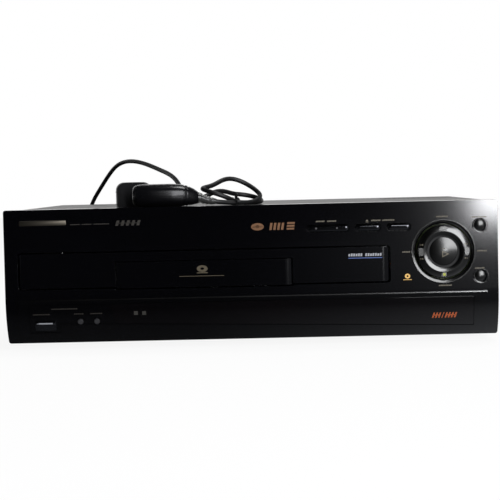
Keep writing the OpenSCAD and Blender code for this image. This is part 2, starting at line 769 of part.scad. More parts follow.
// Pockets under the tray's floor, between its ribs
module floor_pockets(x0, x1, nx, y0, y1, ny, z0, z1) {
    rib = 1.6;
    dx = (x1 - x0)/nx;
    dy = (y1 - y0)/ny;
    for (i = [0:nx - 1], j = [0:ny - 1])
        span([x0 + i*dx, y0 + j*dy, z0], [x0 + (i + 1)*dx - rib, y0 + (j + 1)*dy - rib, z1]);
}

module ld_tray() {
    channel = cd_tray_w/2 + run_gap;
    groove = channel + runner[0];
    color("#1c1c1e") difference() {
        union() {
            span([tray_x[0], tray_y0, tray_z], [tray_x[1], tray_y1, tray_z + tray_h]);
            // runners along both sides
            span([tray_x[0] - runner[0], tray_y0, runner_z], [tray_x[1] + runner[0], tray_y1, runner_z + runner[1]]);
            rack();
        }
        // recess for the large disc, with a shallow step for finger room at its left and right
        translate([disc_x, disc_y, tray_floor]) cylinder(h = tray_h, r = disc_d/2 + disc_gap, $fn = 128);
        span([disc_x - 40, disc_y - disc_d/2 - 40, tray_floor + 1], [disc_x + 40, disc_y, tray_z + tray_h + 1]);
        // channel for the CD tray with its two grooves, and the slot for the pickup behind it
        span([disc_x - channel, tray_y0 - 1, tray_z - 1], [disc_x + channel, cd_y1 + run_gap, tray_z + tray_h + 1]);
        span([disc_x - groove, tray_y0 - 1, cd_runner_z - run_gap],
            [disc_x + groove, cd_y1 + run_gap, cd_runner_z + 2.4 + run_gap]);
        span([disc_x - slot_w/2, cd_y1 - 1, tray_z - 1],
            [disc_x + slot_w/2, disc_y + disc_d/2 - 2, tray_z + tray_h + 1]);
        // pockets between the ribs of the underside
        for (s = [[tray_x[0] + 3, disc_x - groove - 3], [disc_x + groove + 3, tray_x[1] - 3]])
            floor_pockets(s[0], s[1], 3, tray_y0 + 3, cd_y1 + 10, 7, tray_z - 1, tray_floor - 2.2);
        for (s = [[tray_x[0] + 3, disc_x - slot_w/2 - 3], [disc_x + slot_w/2 + 3, tray_x[1] - 3]])
            floor_pockets(s[0], s[1], 4, cd_y1 + 10, tray_y1 - 3, 2, tray_z - 1, tray_floor - 2.2);
    }
}

// Teeth of the rack along the tray's right side; a gap between two teeth faces the gear
module rack() {
    pitch = PI*gear_m;
    flank = tan(20);
    half = pitch/4 - gear_play/2;
    root = 1.25*gear_m;
    n0 = ceil((tray_y0 + 6 - gear_at[1])/pitch);
    n1 = floor((tray_y1 - 4 - gear_at[1])/pitch);
    translate([0, 0, gear_z[0]]) linear_extrude(gear_z[1] - gear_z[0])
        for (k = [n0:n1 - 1]) translate([rack_root, gear_at[1] + (k + 0.5)*pitch]) polygon([
            [-0.5, -half - root*flank], [0, -half - root*flank],
            [root + gear_m, -half + gear_m*flank], [root + gear_m, half - gear_m*flank],
            [0, half + root*flank], [-0.5, half + root*flank]
        ]);
}

// Keeps what lies within a door of width w, whose face falls away towards its two ends
module pillowed(w) {
    intersection() {
        children();
        linear_extrude(top_z) polygon([
            for (a = [0:15:90]) [disc_x - w/2 + pillow[0]*(1 - cos(a)), face_y + pillow[1]*(1 - sin(a))],
            for (a = [90:-15:0]) [disc_x + w/2 - pillow[0]*(1 - cos(a)), face_y + pillow[1]*(1 - sin(a))],
            [disc_x + w/2, tray_y0 + 1], [disc_x - w/2, tray_y0 + 1]
        ]);
    }
}

module ld_door() {
    color("#18191b") pillowed(door_w) difference() {
        front_prism(face_y, tray_y0) round_rect(disc_x - door_w/2, door_v, door_w, door_h, 2.5);
        front_prism(face_y - 1, tray_y0 + 1)
            translate([disc_x - cd_door_w/2 - door_gap/2, door_v - 5])
                square([cd_door_w + door_gap, cd_door_v + cd_door_h - door_v + 5 + door_gap/2]);
    }
}

module cd_tray() {
    x0 = disc_x - cd_tray_w/2;
    x1 = disc_x + cd_tray_w/2;
    color("#202022") difference() {
        union() {
            span([x0, tray_y0, cd_z], [x1, cd_y1, tray_floor]);
            span([x0 - runner[0] + 0.6, tray_y0 + 0.5, cd_runner_z],
                [x1 + runner[0] - 0.6, cd_y1, cd_runner_z + 2.4]);
        }
        translate([disc_x, disc_y, tray_floor - cd_drop]) cylinder(h = 9, r = cd_d/2 + 0.7, $fn = 128);
        translate([disc_x, disc_y, tray_floor - cd_drop - 1.2]) cylinder(h = 9, r = 40.6);
        bar_z([disc_x, disc_y], cd_z - 1, tray_floor + 1, hub_hole_r);
        span([disc_x - hub_hole_r, disc_y, cd_z - 1], [disc_x + hub_hole_r, cd_y1 + 1, tray_floor + 1]);
        // finger notches beside the small disc
        for (s = [-1, 1]) translate([disc_x + s*cd_d/2, disc_y - 24, tray_floor - cd_drop])
            cylinder(h = 9, r = 9);
        floor_pockets(x0 + 4, x1 - 4, 5, tray_y0 + 3, disc_y - cd_d/2 - 4, 2, cd_z - 1, tray_floor - 2);
    }
}

module cd_door() {
    color("#1a1b1d") pillowed(cd_door_w) front_prism(face_y, tray_y0)
        round_rect(disc_x - cd_door_w/2, cd_door_v, cd_door_w, cd_door_h, 1);
}

// ---------- mechanism ----------

module mech_frame() {
    color("#55565a") difference() {
        union() {
            span([deck_x[0], deck_y[0], deck_z - deck_t], [deck_x[1], deck_y[1], deck_z]);
            for (p = leg_at) bar_z(p, floor_z, deck_z, 5);
            // lift guide pins
            for (s = [-1, 1]) bar_z([disc_x + s*lift_pin_x, disc_y], deck_z - 1, tray_z - 0.8, lift_pin_r);
            // rod brackets
            for (y = rod_y) span([disc_x - rod_x - 5, y - 2.5, deck_z - 1],
                [disc_x + rod_x + 5, y + 2.5, deck_z + 3.5]);
            for (y = rod_y, s = [-1, 1]) span([disc_x + s*rod_x - 5, y - 2.5, deck_z - 1],
                [disc_x + s*rod_x + 5, y + 2.5, rod_z + 5]);
            // front bearing and rear bearing of the sled screw
            for (y = rod_y) span([disc_x + screw_x - 5, y - 2.5, deck_z - 1],
                [disc_x + screw_x + 5, y + 2.5, screw_z + 4.5]);
            // posts of the clamp arm's hinge, on a tongue behind the deck
            span([disc_x - post_x - 8, deck_y[1] - 1, deck_z - deck_t],
                [disc_x + post_x + 8, inner_y - 4, deck_z]);
            for (s = [-1, 1]) translate([disc_x + s*post_x, 0, 0]) side_prism(-2, 2) polygon([
                [arm_pivot[0] - 6, deck_z - 1], [arm_pivot[0] + 6, deck_z - 1],
                [arm_pivot[0] + 4, arm_pivot[1] + 5], [arm_pivot[0] - 4, arm_pivot[1] + 5]
            ]);
            wing();
        }
        // windows that lighten the deck
        for (x = [tray_x[0] + 18, tray_x[1] - 92], i = [0:2])
            span([x, deck_y[0] + 26 + i*(deck_window + 20), deck_z - deck_t - 1],
                [x + 70, deck_y[0] + 26 + i*(deck_window + 20) + deck_window, deck_z + 1]);
        for (s = [-1, 1], y = rod_y) bar_y(disc_x + s*rod_x, rod_z, y - 5, y + 5, rod_r + 0.02);
        for (y = rod_y) bar_y(disc_x + screw_x, screw_z, y - 5, y + 5, screw_r + shaft_gap);
        bar_x(arm_pivot[0], arm_pivot[1], disc_x - 40, disc_x + 40, 2 + shaft_gap);
        for (p = leg_at) bar_z(p, floor_z - 1, floor_z + 12, 1.3);
        bar_z(motor_at, wing_z - 5, wing_z + 5, 4);
    }
}

// Side wing of the frame that carries the loading gears and their motor
module wing() {
    x0 = tray_x[1] + runner[0] + 3.9;
    y = [gear_at[1] - 12, motor_at[1] + 14];
    span([x0, y[0], deck_z - deck_t], [deck_x[1], y[1], wing_z]);
    span([x0, y[0], wing_z - deck_t], [motor_at[0] + 14, y[1], wing_z]);
    bar_z(gear_at, wing_z - 1, gear_z[1] + 1, 2.5);
    bar_z(pinion_at, wing_z - 1, gear_z[1] + 1, 2.5);
}

// Channel that holds one edge of the LD tray; s is -1 on the left and 1 on the right
module tray_guide(s) {
    edge = s < 0 ? tray_x[0] : tray_x[1];
    inner = edge + s*run_gap;
    outer = edge + s*(runner[0] + 3.4);
    y0 = case_y + 3;
    y1 = deck_y[1] - 4;
    gap_z = [runner_z - run_gap, runner_z + runner[1] + run_gap];
    cut_top = gap_z[1] + (s < 0 ? 4 : guide_lip);
    color("#3d3e42") difference() {
        span([min(inner, outer), y0, deck_z], [max(inner, outer), y1, cut_top]);
        span([min(inner - s, edge + s*(runner[0] + run_gap)), y0 - 1, gap_z[0]],
            [max(inner - s, edge + s*(runner[0] + run_gap)), y1 + 1, gap_z[1]]);
        // windows between the guide's feet
        for (y = [y0 + 14:44:y1 - 30]) span([min(inner, outer) - 1, y, deck_z + 4],
            [max(inner, outer) + 1, y + 26, gap_z[0] - 2.5]);
    }
}

module lift_base() {
    color("#7c7d80") difference() {
        span([disc_x - lift_pin_x - 5, disc_y - turntable_r, lift_z],
            [disc_x + lift_pin_x + 5, disc_y + turntable_r, lift_z + lift_t]);
        for (s = [-1, 1]) bar_z([disc_x + s*lift_pin_x, disc_y], lift_z - 1, lift_z + lift_t + 1,
            lift_pin_r + shaft_gap);
    }
}

module spindle_motor() {
    color("#a5a6a8") {
        bar_z([disc_x, disc_y], motor_z, motor_z + motor_h - 1, turntable_r - 2);
        bar_z([disc_x, disc_y], motor_z, motor_z + motor_h, turntable_r - 4);
        bar_z([disc_x, disc_y], motor_z, table_z + table_h, 1.5);
    }
}

module turntable() {
    color("#2e2e30") translate([disc_x, disc_y, table_z]) difference() {
        rotate_extrude() polygon([
            [0, 0], [turntable_r - 1, 0], [turntable_r, 1], [turntable_r, table_h],
            [turntable_r - 3, table_h], [turntable_r - 3, table_h - 0.4], [7.4, table_h - 0.4],
            [7.4, table_h + 0.6], [5, table_h + cone_h], [0, table_h + cone_h]
        ]);
        translate([0, 0, -1]) cylinder(h = table_h + 1.6, r = 1.5 + 0.02);
    }
}

module clamp_arm() {
    w = 21;
    y0 = disc_y - 20;
    y1 = arm_pivot[0] - 5;
    color("#8f9093") difference() {
        union() {
            span([disc_x - w, y0, arm_z], [disc_x + w, y1, arm_z + 1.6]);
            bar_z([disc_x, disc_y], arm_z, arm_z + 3, 20);
            for (s = [-1, 1]) translate([disc_x + s*(w - 0.8), 0, 0]) side_prism(-0.8, 0.8) polygon([
                [y0, arm_z], [y1, arm_z], [arm_pivot[0], arm_pivot[1] - 5],
                [arm_pivot[0] + 4, arm_pivot[1]], [arm_pivot[0], arm_pivot[1] + 4],
                [y1, arm_pivot[1] + 4], [y0, arm_z + 7]
            ]);
        }
        bar_z([disc_x, disc_y], arm_z - 1, arm_z + 4, 7.2);
        bar_x(arm_pivot[0], arm_pivot[1], disc_x - 40, disc_x + 40, 2);
        // lightening holes along the arm
        for (y = [disc_y + 45:34:y1 - 30]) bar_z([disc_x, y], arm_z - 1, arm_z + 4, 10);
    }
}

module clamp_pin() {
    color("#c0c1c3") bar_x(arm_pivot[0], arm_pivot[1], disc_x - 28.5, disc_x + 28.5, 2);
}

module clamper() {
    z0 = tray_z + tray_h + 1;
    color("#1e1e20") translate([disc_x, disc_y, 0]) rotate_extrude() polygon([
        [8, z0], [16, z0], [16, z0 + 4], [6.5, z0 + 6], [6.5, arm_z + 3.3], [11, arm_z + 3.3],
        [11, arm_z + 5.3], [0, arm_z + 5.3], [0, z0 + 4], [8, z0 + 4]
    ]);
}

module pickup_carriage() {
    color("#9b9c9e") difference() {
        union() {
            span([disc_x - 20, sled_y, rod_z - 5], [disc_x + 20, sled_y + sled_l, rod_z + 2.5]);
            for (s = [-1, 1]) {
                bar_y(disc_x + s*rod_x, rod_z, sled_y + 9, sled_y + 33, 4.4);
                span([disc_x + min(s*rod_x, s*18), sled_y + 9, rod_z - 3],
                    [disc_x + max(s*rod_x, s*18), sled_y + 33, rod_z + 3]);
            }
            // arm with the nut on the sled screw
            span([disc_x + rod_x, sled_y + 14, rod_z - 3], [disc_x + screw_x, sled_y + 28, rod_z + 3]);
            bar_y(disc_x + screw_x, screw_z, sled_y + 14, sled_y + 28, screw_r + 2);
        }
        for (s = [-1, 1]) bar_y(disc_x + s*rod_x, rod_z, sled_y - 5, sled_y + sled_l + 5, rod_r + shaft_gap);
        bar_y(disc_x + screw_x, screw_z, sled_y - 5, sled_y + sled_l + 5, screw_r + shaft_gap);
        bar_z([disc_x, sled_y + 8], rod_z - 2, rod_z + 4, 6.2);
    }
}

module lens_holder() {
    color("#2b3a4a") translate([disc_x, sled_y + 8, 0]) {
        bar_z([0, 0], rod_z - 1, rod_z + 4.6, 5.6);
        bar_z([0, 0], rod_z + 4.5, rod_z + 5.6, 3);
    }
}

module guide_rods() {
    color("#d0d1d2") for (s = [-1, 1])
        bar_y(disc_x + s*rod_x, rod_z, rod_y[0] - 2.5, rod_y[1] + 2.5, rod_r);
}

module sled_screw() {
    color("#b9babc") bar_y(disc_x + screw_x, screw_z, rod_y[0] - 4.5, rod_y[1] + 2.5, screw_r);
}

module sled_motor() {
    color("#a9aaac") {
        bar_y(disc_x + screw_x, screw_z, rod_y[0] - 30, rod_y[0] - 5, 8);
        span([disc_x + screw_x - 5, rod_y[0] - 28, deck_z], [disc_x + screw_x + 5, rod_y[0] - 7, screw_z - 4]);
    }
}

// Involute gear outline
function involute(a) = tan(a)*180/PI - a;
function half_angle(r, rp, n) =
    90/n - gear_play/rp*90/PI + involute(20)
    - (r > rp*cos(20) ? involute(acos(rp*cos(20)/r)) : 0);
function polar(r, a) = [r*cos(a), r*sin(a)];
function tooth_radii(rp) = [for (i = [0:4]) let(r0 = max(rp*cos(20), rp - 1.25*gear_m))
    r0 + (rp + gear_m - r0)*i/4];
function gear_pts(n, phase) =
    let(rp = gear_m*n/2, rf = rp - 1.25*gear_m, rs = tooth_radii(rp))
    [for (k = [0:n - 1]) let(c = phase + 360*k/n) each concat(
        [polar(rf, c - half_angle(rf, rp, n))],
        [for (r = rs) polar(r, c - half_angle(r, rp, n))],
        [for (i = [len(rs) - 1:-1:0]) polar(rs[i], c + half_angle(rs[i], rp, n))],
        [polar(rf, c + half_angle(rf, rp, n))]
    )];

module tray_gear() {
    color("#d8d5c8") translate([gear_at[0], gear_at[1], 0]) difference() {
        union() {
            translate([0, 0, gear_z[0]]) linear_extrude(gear_z[1] - gear_z[0]) polygon(gear_pts(gear_n, 0));
            bar_z([0, 0], wing_z + 0.2, gear_z[1], 5);
        }
        bar_z([0, 0], wing_z - 1, gear_z[1] + 1, 2.5 + shaft_gap);
        for (a = [0:60:359]) rotate(a) bar_z([10.5, 0], gear_z[0] - 1, gear_z[1] + 1, 2.6);
    }
}

module belt_pulley() {
    phase = pinion_dir + 180 + 180/pinion_n;
    color("#cfccbf") translate([pinion_at[0], pinion_at[1], 0]) difference() {
        union() {
            translate([0, 0, gear_z[0]]) linear_extrude(gear_z[1] - gear_z[0])
                polygon(gear_pts(pinion_n, phase));
            bar_z([0, 0], wing_z + 0.2, gear_z[0] + 0.1, 5);
            pulley(pulley_r);
        }
        bar_z([0, 0], wing_z - 1, gear_z[1] + 1, 2.5 + shaft_gap);
    }
}

// Flanged pulley for the flat belt
module pulley(r) {
    bar_z([0, 0], wing_z + 1.4, wing_z + 5, r);
    bar_z([0, 0], wing_z + 1, wing_z + 1.6, r + 1.6);
    bar_z([0, 0], wing_z + 4.6, wing_z + 5.2, r + 1.6);
}

module motor_pulley() {
    color("#cfccbf") translate([motor_at[0], motor_at[1], 0]) difference() {
        pulley(motor_pulley_r);
        bar_z([0, 0], wing_z - 1, wing_z + 9, 1.52);
    }
}

module loading_motor() {
    color("#a9aaac") {
        bar_z(motor_at, wing_z - deck_t - 22, wing_z - deck_t, 11);
        bar_z(motor_at, wing_z - deck_t, wing_z - 0.5, 3.6);
        bar_z(motor_at, wing_z - deck_t, wing_z + 6, 1.5);
    }
}

// Outline of the belt's path round both pulleys, t outside their rims
module belt_2d(t) {
    hull() {
        translate(pinion_at) circle(pulley_r + t);
        translate(motor_at) circle(motor_pulley_r + t);
    }
}

module loading_belt() {
    color("#161616") translate([0, 0, wing_z + 1.9]) linear_extrude(2.4) difference() {
        belt_2d(0.1 + belt_t);
        belt_2d(0.1);
    }
}

// Circuit board with its parts: each part is [x, y, width, depth, height], its place
// measured from the board's rear right corner
module board(x0, x1, y0, y1, z, parts) {
    difference() {
        union() {
            span([x0, y0, z], [x1, y1, z + 1.6]);
            for (p = parts) translate([x1, y1, z]) span([p[0], p[1], 1.5], [p[0] + p[2], p[1] + p[3], 1.6 + p[4]]);
            for (x = [x0 + 5, x1 - 5], y = [y0 + 5, y1 - 5]) bar_z([x, y], floor_z, z + 0.1, 3);
        }
        for (p = leg_at) bar_z(p, z - 1, z + 4, 6);
    }
}

// Right edge of the power supply's board
supply_x1 = -body_w/2 + 102;

module main_board() {
    color("#3f6b3a") board(supply_x1 + 8, body_w/2 - 15, case_y + 30, inner_y - 36, floor_z + 6, [
        [-255, -250, 24, 24, 3], [-205, -260, 18, 18, 3], [-165, -210, 30, 14, 4],
        [-265, -170, 14, 30, 4], [-65, -210, 55, 40, 14], [-55, -140, 30, 60, 20],
        [-65, -50, 50, 12, 12], [-135, -90, 20, 20, 3]
    ]);
}

module power_supply() {
    color("#6b5a2e") board(supply_x1 - 94, supply_x1, inner_y - 152, inner_y - 14, floor_z + 6, [
        [-82, -122, 36, 34, 16], [-37, -122, 22, 22, 14], [-82, -72, 14, 14, 12],
        [-57, -62, 18, 30, 8], [-27, -52, 20, 8, 10]
    ]);
}

// ---------- mains lead ----------

function unit(v) = v/norm(v);

// Point on a smooth curve through p1 and p2, t from 0 to 1 between them
function curve(p0, p1, p2, p3, t) =
    p1 + 0.5*t*((p2 - p0) + t*((2*p0 - 5*p1 + 4*p2 - p3) + t*(3*p1 - p0 - 3*p2 + p3)));
function smooth(pts, n) = let(last = len(pts) - 1) concat(
    [for (i = [0:last - 1], k = [0:n - 1])
        curve(pts[max(i - 1, 0)], pts[i], pts[i + 1], pts[min(i + 2, last)], k/n)],
    [pts[last]]
);

// Round tube swept along a list of points
module tube(pts, r, sides) {
    last = len(pts) - 1;
    dir = [for (i = [0:last]) unit(pts[min(i + 1, last)] - pts[max(i - 1, 0)])];
    a = [for (d = dir) unit(cross(d, [0.96, -0.28, 0]))];
    b = [for (i = [0:last]) cross(dir[i], a[i])];
    rings = [for (i = [0:last], k = [0:sides - 1])
        pts[i] + r*(cos(360*k/sides)*a[i] + sin(360*k/sides)*b[i])];
    polyhedron(rings, concat(
        [[for (k = [0:sides - 1]) k]],
        [for (i = [0:last - 1], k = [0:sides - 1]) let(n = (k + 1) % sides)
            [i*sides + n, i*sides + k, (i + 1)*sides + k, (i + 1)*sides + n]],
        [[for (k = [sides - 1:-1:0]) last*sides + k]]
    ));
}

module mains_cord() {
    color("#101010") tube(smooth(lead_pts, 3), lead_d/2, 8);
}

module plug_lead() {
    color("#101010") tube(plug_lead_pts, lead_d/2, 8);
}

// Places its children in the plane of the hank, the long way along X
module in_hank() {
    translate(hank_at) rotate([0, 0, hank_turn]) rotate([hank_lean, 0, 0]) children();
}

module cord_hank() {
    color("#121212") in_hank() translate([0, 0, -hank_t/2]) linear_extrude(hank_t)
        slot_2d(-hank_l/2, hank_l/2, 0, hank_w);
}

module cord_tie() {
    color("#303030") in_hank() translate([-20, 0, 0]) difference() {
        cube([7, hank_w + 2.2, hank_t + 2.2], center = true);
        cube([8, hank_w + 0.2, hank_t + 0.2], center = true);
    }
}

// Moulded plug lying on its side, tapering to the lead at its right end
module mains_plug() {
    color("#141415") translate(plug_at) hull() {
        for (x = [-14, 12], y = [-6, 6]) translate([x, y, 10.2]) sphere(10.2, $fn = 32);
        translate([26, 0, 10]) sphere(5, $fn = 32);
    }
}

module plug_adapter() {
    r = 7;
    flat = adapter_r/2;
    color("#151516") translate([adapter_at[0], adapter_at[1], cover_top + 0.2]) difference() {
        rotate_extrude() polygon(concat(
            [[0, 0], [adapter_r - 1, 0], [adapter_r, 1]],
            [for (a = [0:15:90]) [adapter_r - r + r*cos(a), adapter_h - r + r*sin(a)]],
            [[0, adapter_h]]
        ));
        // flat face with the sockets for the plug's pins
        translate([-30, -30 - flat, -1]) cube([60, 30, 40]);
        for (s = [-1, 1]) translate([5.5, -flat - 1, 10.2 + s*6.35 - 1.1]) cube([7, 13, 2.2]);
    }
}

// ---------- assembly ----------

front_panel();
lower_fascia();
display_window();
power_panel();
top_cover();
rear_panel();
chassis();
foot(0);  // foot_front_left
foot(1);  // foot_rear_left
foot(2);  // foot_front_right
foot(3);  // foot_rear_right
cover_screws();
av_jack_block();
scart_socket();
cord_gland();
power_button();
pill_button(pill_x[0]);  // side_button
pill_button(pill_x[1]);  // ld_open_button
pill_button(pill_x[2]);  // cd_open_button
domed_button(domed_at[0]);  // pause_button
domed_button(domed_at[1]);  // stop_button
round_button(dot_at[0]);  // round_button_left
round_button(dot_at[1]);  // round_button_right
ring_gimbal();
ring_control();
play_button();
play_collar();
front_board();
display_tube();
ld_tray();
ld_door();
cd_tray();
cd_door();
mech_frame();
tray_guide(-1);  // tray_guide_left
tray_guide(1);  // tray_guide_right
lift_base();
spindle_motor();
turntable();
clamp_arm();
clamp_pin();
clamper();
pickup_carriage();
lens_holder();
guide_rods();
sled_screw();
sled_motor();
loading_motor();
motor_pulley();
loading_belt();
belt_pulley();
tray_gear();
main_board();
power_supply();
mains_cord();
cord_hank();
cord_tie();
plug_lead();
mains_plug();
plug_adapter();
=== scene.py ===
"""A full-size laserdisc player with a CD tray inside its disc tray, a ring control and a swept front.

Everything is in metres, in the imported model's frame: +Z is up, the front faces -Y and the
feet stand on z = 0. The sections follow the player as it is put together.
"""

import math

import bmesh
import bpy
from mathutils import Matrix, Vector
from mathutils.bvhtree import BVHTree


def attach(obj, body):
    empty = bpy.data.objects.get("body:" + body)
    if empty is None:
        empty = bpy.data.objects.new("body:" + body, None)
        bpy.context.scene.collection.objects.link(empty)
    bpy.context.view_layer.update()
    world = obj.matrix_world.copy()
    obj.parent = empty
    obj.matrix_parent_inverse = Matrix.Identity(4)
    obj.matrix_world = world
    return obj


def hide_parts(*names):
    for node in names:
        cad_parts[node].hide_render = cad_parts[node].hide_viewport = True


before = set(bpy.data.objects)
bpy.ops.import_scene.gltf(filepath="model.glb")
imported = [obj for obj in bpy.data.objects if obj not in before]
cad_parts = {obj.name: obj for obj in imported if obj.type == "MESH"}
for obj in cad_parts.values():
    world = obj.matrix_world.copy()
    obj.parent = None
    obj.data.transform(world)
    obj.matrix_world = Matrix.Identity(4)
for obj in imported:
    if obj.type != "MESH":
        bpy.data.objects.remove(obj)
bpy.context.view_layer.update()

# ---------- Camera ----------
# A long lens just above the player's top edge and a little right of its middle, tipped
# down slightly and rolled so that the front's upper edge rises to the right.
EYE = Vector((0.02313, -1.64267, 0.14218))
YAW, PITCH, ROLL = 0.0162, 0.0409, -0.0234
SENSOR_MM, LENS_MM = 36, 122.98032

ahead = Vector((-math.sin(YAW) * math.cos(PITCH), math.cos(YAW) * math.cos(PITCH), -math.sin(PITCH)))
level = Vector((math.cos(YAW), math.sin(YAW), 0))
upright = level.cross(ahead)
right = math.cos(ROLL) * level + math.sin(ROLL) * upright
up = math.cos(ROLL) * upright - math.sin(ROLL) * level

camera = bpy.data.objects.new("camera", bpy.data.cameras.new("camera"))
bpy.context.scene.collection.objects.link(camera)
camera.matrix_world = Matrix.Translation(EYE) @ Matrix((right, up, -ahead)).transposed().to_4x4()
camera.data.sensor_width, camera.data.lens = SENSOR_MM, LENS_MM
camera.data.clip_start, camera.data.clip_end = 0.05, 60
bpy.context.scene.camera = camera
bpy.context.scene.view_settings.view_transform = "Standard"

# ---------- Mains lead ----------
# A round two-core flex in soft black PVC. It leaves the strain relief, rises behind the
# case and lies over the top. Two loose turns beside the plug take up its spare length.
MM = 0.001
LEAD_D = 4.2 * MM
LEAD_ROUTE = [Vector(p) * MM for p in (
    # out of the strain relief, up behind the case, over its rear edge and down behind the plug
    (-184, 212, 50), (-184, 221, 51), (-185, 231, 56), (-186, 239, 66), (-186, 239, 79),
    (-185, 232, 92), (-183, 220, 104), (-179, 206, 115), (-173, 192, 126), (-163, 178, 139),
    (-153, 160, 151.5), (-143, 134, 160.5), (-131, 104, 164.5), (-117, 74, 164), (-102, 42, 159.5),
    (-89, 11, 154), (-78.5, -17, 150), (-70.5, -42, 144.5), (-65, -63, 136.5), (-63, -80, 130.2),
    # round behind the plug's tail
    (-63, -94.8, 126.5), (-61.6, -101.1, 125.3), (-57.7, -106.1, 125), (-52, -109.1, 125.4),
    (-45.6, -109.4, 126.8), (-39.7, -106.9, 128.6), (-35, -100.5, 131.4),
    # first turn: to the right at middle height, and back along the cover
    (-30.3, -94.1, 133), (-24.8, -86.8, 132.8), (-19.9, -79.9, 131.2), (-15.1, -73.4, 129.7),
    (-10.4, -69.8, 129.4), (-4.8, -68.2, 128.5), (0.8, -69, 127.3), (5.5, -71.9, 125.8),
    (8.6, -76.6, 124.3), (9.5, -82.2, 123.1), (8.3, -87.6, 122.3), (5.5, -92, 122.1),
    (-0.5, -98, 122.1), (-5.8, -104, 122.1), (-10.8, -109.6, 122.6), (-15, -114.5, 124.2),
    (-19.3, -120.4, 126.4), (-24.1, -123.3, 128.6), (-29.7, -124.2, 130.6), (-35.2, -122.8, 132.4),
    (-39.7, -119.3, 133.9), (-42.5, -114.4, 135), (-43.1, -108.8, 135.7), (-41.5, -103.3, 136.4),
    # second turn: over the first one, standing up, and forward to the plug
    (-35.9, -97.1, 137.6), (-31.4, -91.7, 139.6), (-27, -86.2, 142.2), (-22.5, -80.9, 143.8),
    (-17.2, -76.9, 144), (-11, -74.4, 142.2), (-4.7, -74, 139.2), (0.9, -75.9, 135.6),
    (5.2, -79.5, 132.2), (7.9, -84.6, 129.4), (8.5, -90.5, 127), (7, -96.4, 125),
    (4.2, -101.4, 123.5), (0.2, -106, 122.4), (-4.5, -110.6, 122.1), (-9.5, -115.5, 122.1),
    (-15.3, -121, 122.4), (-21.5, -124.5, 122.9), (-28.5, -129.3, 123.6), (-36.5, -131, 124.8),
    (-45, -131, 127.3), (-52, -131, 129.3),
)]
lead_curve = bpy.data.curves.new("mains_lead", "CURVE")
lead_curve.dimensions = "3D"
lead_curve.bevel_depth = 1
lead_curve.bevel_resolution = 5
lead_curve.resolution_u = 6
lead_curve.use_fill_caps = True
spline = lead_curve.splines.new("BEZIER")
spline.bezier_points.add(len(LEAD_ROUTE) - 1)
for i, knot in enumerate(spline.bezier_points):
    # the knots and handles of a smooth B-spline, which has no tight spot between its points
    here = LEAD_ROUTE[i]
    before = LEAD_ROUTE[i - 1] if i else here * 2 - LEAD_ROUTE[1]
    after = LEAD_ROUTE[i + 1] if i < len(LEAD_ROUTE) - 1 else here * 2 - before
    knot.co = (before + here * 4 + after) / 6
    knot.handle_left, knot.handle_right = (before + here * 2) / 3, (here * 2 + after) / 3
    knot.radius = LEAD_D / 2
mains_lead = bpy.data.objects.new("mains_lead", lead_curve)
bpy.context.scene.collection.objects.link(mains_lead)
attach(mains_lead, "case")
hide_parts("mains_cord", "cord_hank", "plug_lead")


def add(nodes, kind, inputs=None, **settings):
    """Adds a shader node. inputs gives its sockets a value, or a socket to be linked to."""
    node = nodes.new("ShaderNode" + kind)
    for name, value in settings.items():
        setattr(node, name, value)
    for name, value in (inputs or {}).items():
        if isinstance(value, bpy.types.NodeSocket):
            nodes.id_data.links.new(value, node.inputs[name])
        else:
            node.inputs[name].default_value = value
    return node


def colour(code):
    """Linear colour of an sRGB hex value such as "#1a2b3c"."""
    parts = [int(code[i:i + 2], 16) / 255 for i in (1, 3, 5)]
    return [c / 12.92 if c <= 0.04045 else ((c + 0.055) / 1.055) ** 2.4 for c in parts] + [1]


def finish(name, tones, gloss, pattern, **fixed):
    """A finish named after what it is. pattern(nodes, place) gives a height, its depth in
    metres, and a 0-1 mask that moves the colour between tones and the roughness between
    gloss. fixed holds the shader's even values, such as Metallic=1."""
    material = bpy.data.materials.new(name)
    material.use_nodes = True
    nodes = material.node_tree.nodes
    nodes.clear()
    place = add(nodes, "TexCoord").outputs["Object"]
    height, depth, mask = pattern(nodes, place)
    bump = add(nodes, "Bump", {"Height": height, "Distance": depth, "Strength": 1})
    tone = add(nodes, "MixRGB", {"Fac": mask, "Color1": colour(tones[0]), "Color2": colour(tones[1])})
    rough = add(nodes, "MapRange", {"Value": mask, "To Min": gloss[0], "To Max": gloss[1]})
    even = {key.replace("_", " "): value for key, value in fixed.items()}
    shader = add(nodes, "BsdfPrincipled", {
        "Base Color": tone.outputs[0], "Roughness": rough.outputs[0],
        "Normal": bump.outputs[0], **even,
    })
    add(nodes, "OutputMaterial", {"Surface": shader.outputs[0]})
    return material


def grained(size, depth, cloud=50 * MM):
    """Spark-eroded mould texture: an even grain, and soft clouds where hands have polished it."""
    def pattern(nodes, place):
        grain = add(nodes, "TexNoise", {"Vector": place, "Scale": 1 / size, "Detail": 2})
        clouds = add(nodes, "TexNoise", {"Vector": place, "Scale": 1 / cloud, "Detail": 3})
        return grain.outputs[0], depth, clouds.outputs[0]
    return pattern


def dress(material, *names):
    """Gives the named pieces and CAD nodes this finish."""
    for name in names:
        piece = bpy.data.objects[name]
        for slot in piece.material_slots:
            slot.material = material
        if not piece.material_slots:
            piece.data.materials.append(material)


# Extruded PVC sheath: dull black, with the faint waviness of its extrusion
flex_pvc = finish("flex_pvc", ("#060607", "#0b0b0c"), (0.42, 0.56), grained(1.6 * MM, 0.05 * MM, 30 * MM))
dress(flex_pvc, "mains_lead")

# ---------- Strain relief ----------
# A ribbed sleeve of softer PVC, moulded onto the lead and pressed into a hole in the rear
# panel, so that a pull on the lead stops there.

# Soft PVC with a matt bloom, greyer in its grooves
sleeve_pvc = finish("sleeve_pvc", ("#151515", "#222223"), (0.5, 0.62), grained(0.5 * MM, 0.02 * MM))
dress(sleeve_pvc, "cord_gland")

